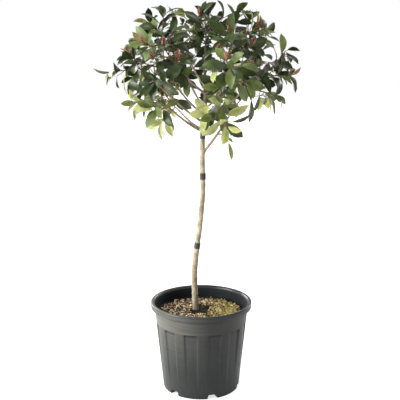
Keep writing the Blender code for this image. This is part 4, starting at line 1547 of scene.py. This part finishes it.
# Laurel-like leaf blades, leathery and waxed: a strong soft sheen over a deep colour, a paler raised
# midrib, and a matt yellow-green underside. Top, midrib and underside of each tint.
leafTints = {
    "deep": {"top": ("243213", "3e4c20"), "rib": "6b6f42", "under": "7e8349", "gloss": 0.32, "glow": 0.0},
    "fresh": {"top": ("425424", "66793c"), "rib": "959d57", "under": "a3ab5b", "gloss": 0.38, "glow": 0.10},
    "yellow": {"top": ("858d36", "bac068"), "rib": "c2c680", "under": "bdc175", "gloss": 0.44, "glow": 0.30},
    "bronze": {"top": ("5f4e26", "906f3c"), "rib": "a4704a", "under": "93834e", "gloss": 0.36, "glow": 0.10},
    "red": {"top": ("814c3d", "ae7b68"), "rib": "bf907e", "under": "925a4c", "gloss": 0.42, "glow": 0.10},
}


# Each side gives its roughness, where it isn't its tint's own gloss, and the scale of its blotches. These are
# about 40 mm, drawn as wide as a leaf so that neighbours differ.
bladeLook = {
    "sides": {"top": (None, 24.0), "rib": (0.42, 60.0), "under": (0.62, 40.0)},
    "grain": (150.0, 2.0),
    "bump": (0.18, 0.0006),
    "shader": {"IOR": 1.45, "Specular_IOR_Level": 0.36, "Subsurface_Scale": 0.004,
               "Subsurface_Radius": (1.0, 0.9, 0.3)},
}


def bladeMaterials(name, tint):
    made = []
    low, high = tint["top"]
    for side, (roughness, scale) in bladeLook["sides"].items():
        material, tree, surface, place = newMaterial(
            f"{name}Leaf{side.title()}", Roughness=roughness or tint["gloss"], Subsurface_Weight=tint["glow"],
            **bladeLook["shader"])
        first = low if side == "top" else tint[side]
        _, blotches = grained(tree, place, ((0.36, first), (0.64, high)), scale, 3.0)
        finish(tree, surface, blotches, (noiseAt(tree, place, *bladeLook["grain"]), *bladeLook["bump"]))
        made.append(material)
    return made


def bladeMesh(name, blades):
    # all blades of one tint at once: rows of six points across the top, and a keel underneath
    p = bladePlan
    rows, columns = len(p["rows"]), len(p["columns"])
    grab = {key: np.array([blade[key] for blade in blades], float)[:, None, None] for key in
            ("length", "width", "fold", "droop", "arch", "wave", "phase", "bend", "start")}
    frames = {key: np.array([blade[key] for blade in blades], float)[:, None, None, :]
              for key in ("root", "along", "across", "up")}
    length, arch = grab["length"], grab["arch"]
    share = grab["start"] + (1.0 - grab["start"]) * np.array(p["rows"])[None, :, None]
    half = length * grab["width"] / 2 * np.array(p["widths"])[None, :, None]
    side = np.array(p["columns"])[None, None, :]
    # the midrib is an arc that sets off a little upwards and ends as low as the solid's leaf
    lift = arch / 2 - grab["droop"]
    turn = arch * share - lift
    ahead = length * (np.sin(turn) + np.sin(lift)) / arch
    above = length * (np.cos(turn) - np.cos(lift)) / arch
    ripple = grab["wave"] * side ** 2 * np.sin(p["waves"] * share + grab["phase"] + side)
    rise = half * (grab["fold"] * np.abs(side) ** 1.25 + ripple)
    rise = rise - length * p["groove"] * (np.abs(side) < 0.2) * (share < 0.95)
    keel = 0.10 * half * grab["fold"] - length * p["thickness"] * np.array(p["keel"])[None, :, None]
    sway = grab["bend"] * length * share ** 2

    def placed(aside, off):
        # off is measured square to the arc
        forward, upward = ahead + off * np.sin(turn), above + off * np.cos(turn)
        spot = frames["root"] + frames["along"] * forward[..., None]
        return spot + frames["across"] * aside[..., None] + frames["up"] * upward[..., None]

    top = placed(half * side + sway, rise).reshape(len(blades), rows * columns, 3)
    under = placed(sway, keel).reshape(len(blades), rows, 3)
    points = np.concatenate([top, under], axis=1)
    # the slots are the blade's top, its midrib and its underside
    faces, slots = [], []
    for r in range(rows - 1):
        low, high = r * columns, (r + 1) * columns
        for c in range(columns - 1):
            faces.append((low + c, high + c, high + c + 1, low + c + 1))
            slots.append(1 if c == columns // 2 - 1 else 0)
        keelLow, keelHigh = rows * columns + r, rows * columns + r + 1
        faces += [(low, keelLow, keelHigh, high), (keelLow, low + columns - 1, high + columns - 1, keelHigh)]
        slots += [2, 2]
    faces.append(tuple(range(columns)) + (rows * columns,))
    faces.append(tuple(reversed(range((rows - 1) * columns, rows * columns))) + (rows * columns + rows - 1,))
    slots += [2, 0]
    count = points.shape[1]
    allFaces = [tuple(n + k * count for n in face) for k in range(len(blades)) for face in faces]
    return meshFrom(name, points.reshape(-1, 3).tolist(), allFaces, slots * len(blades))


def shapeBlade(leaf, rng):
    # the bends and folds of one leaf, where it doesn't have its own
    for key in ("width", "fold", "arch", "wave", "phase", "bend"):
        if key not in leaf:
            leaf[key] = rng.uniform(*bladePlan[key])
    leaf.setdefault("start", stalkPlan["share"])
    return leaf


bladeRng = random.Random(bladePlan["seed"])
tinted = {tint: [] for tint in leafTints}
for part in crown:
    for leaf in part["leaves"]:
        tinted[leaf["tint"]].append(shapeBlade(leaf, bladeRng))
    for end, axis in part["tips"]:
        upright = (axis + Vector((0.0, 0.0, sprayPlan["tipUp"]))).normalized()
        turn = bladeRng.uniform(0.0, 360.0)
        for k, spread in enumerate(sprayPlan["tipSpread"]):
            turn += shootPlan["goldenTurn"]
            length = bladeRng.uniform(*sprayPlan["tipLength"]) * (1.0 - sprayPlan["tipShorter"] * k)
            blade = leafOn(end, upright, turn, spread, length, 0.0, sprayPlan["tipDroop"])
            if withinBox(leafPoints(blade)):
                tinted["red"].append(shapeBlade({**blade, **sprayPlan["tipBlade"]}, bladeRng))
for tint, blades in tinted.items():
    name = tint + "Leaves"
    newPiece(name, bladeMesh(name, blades), bladeMaterials(tint, leafTints[tint]), (), 48.0)
    print(f"{tint}: {len(blades)} blades")
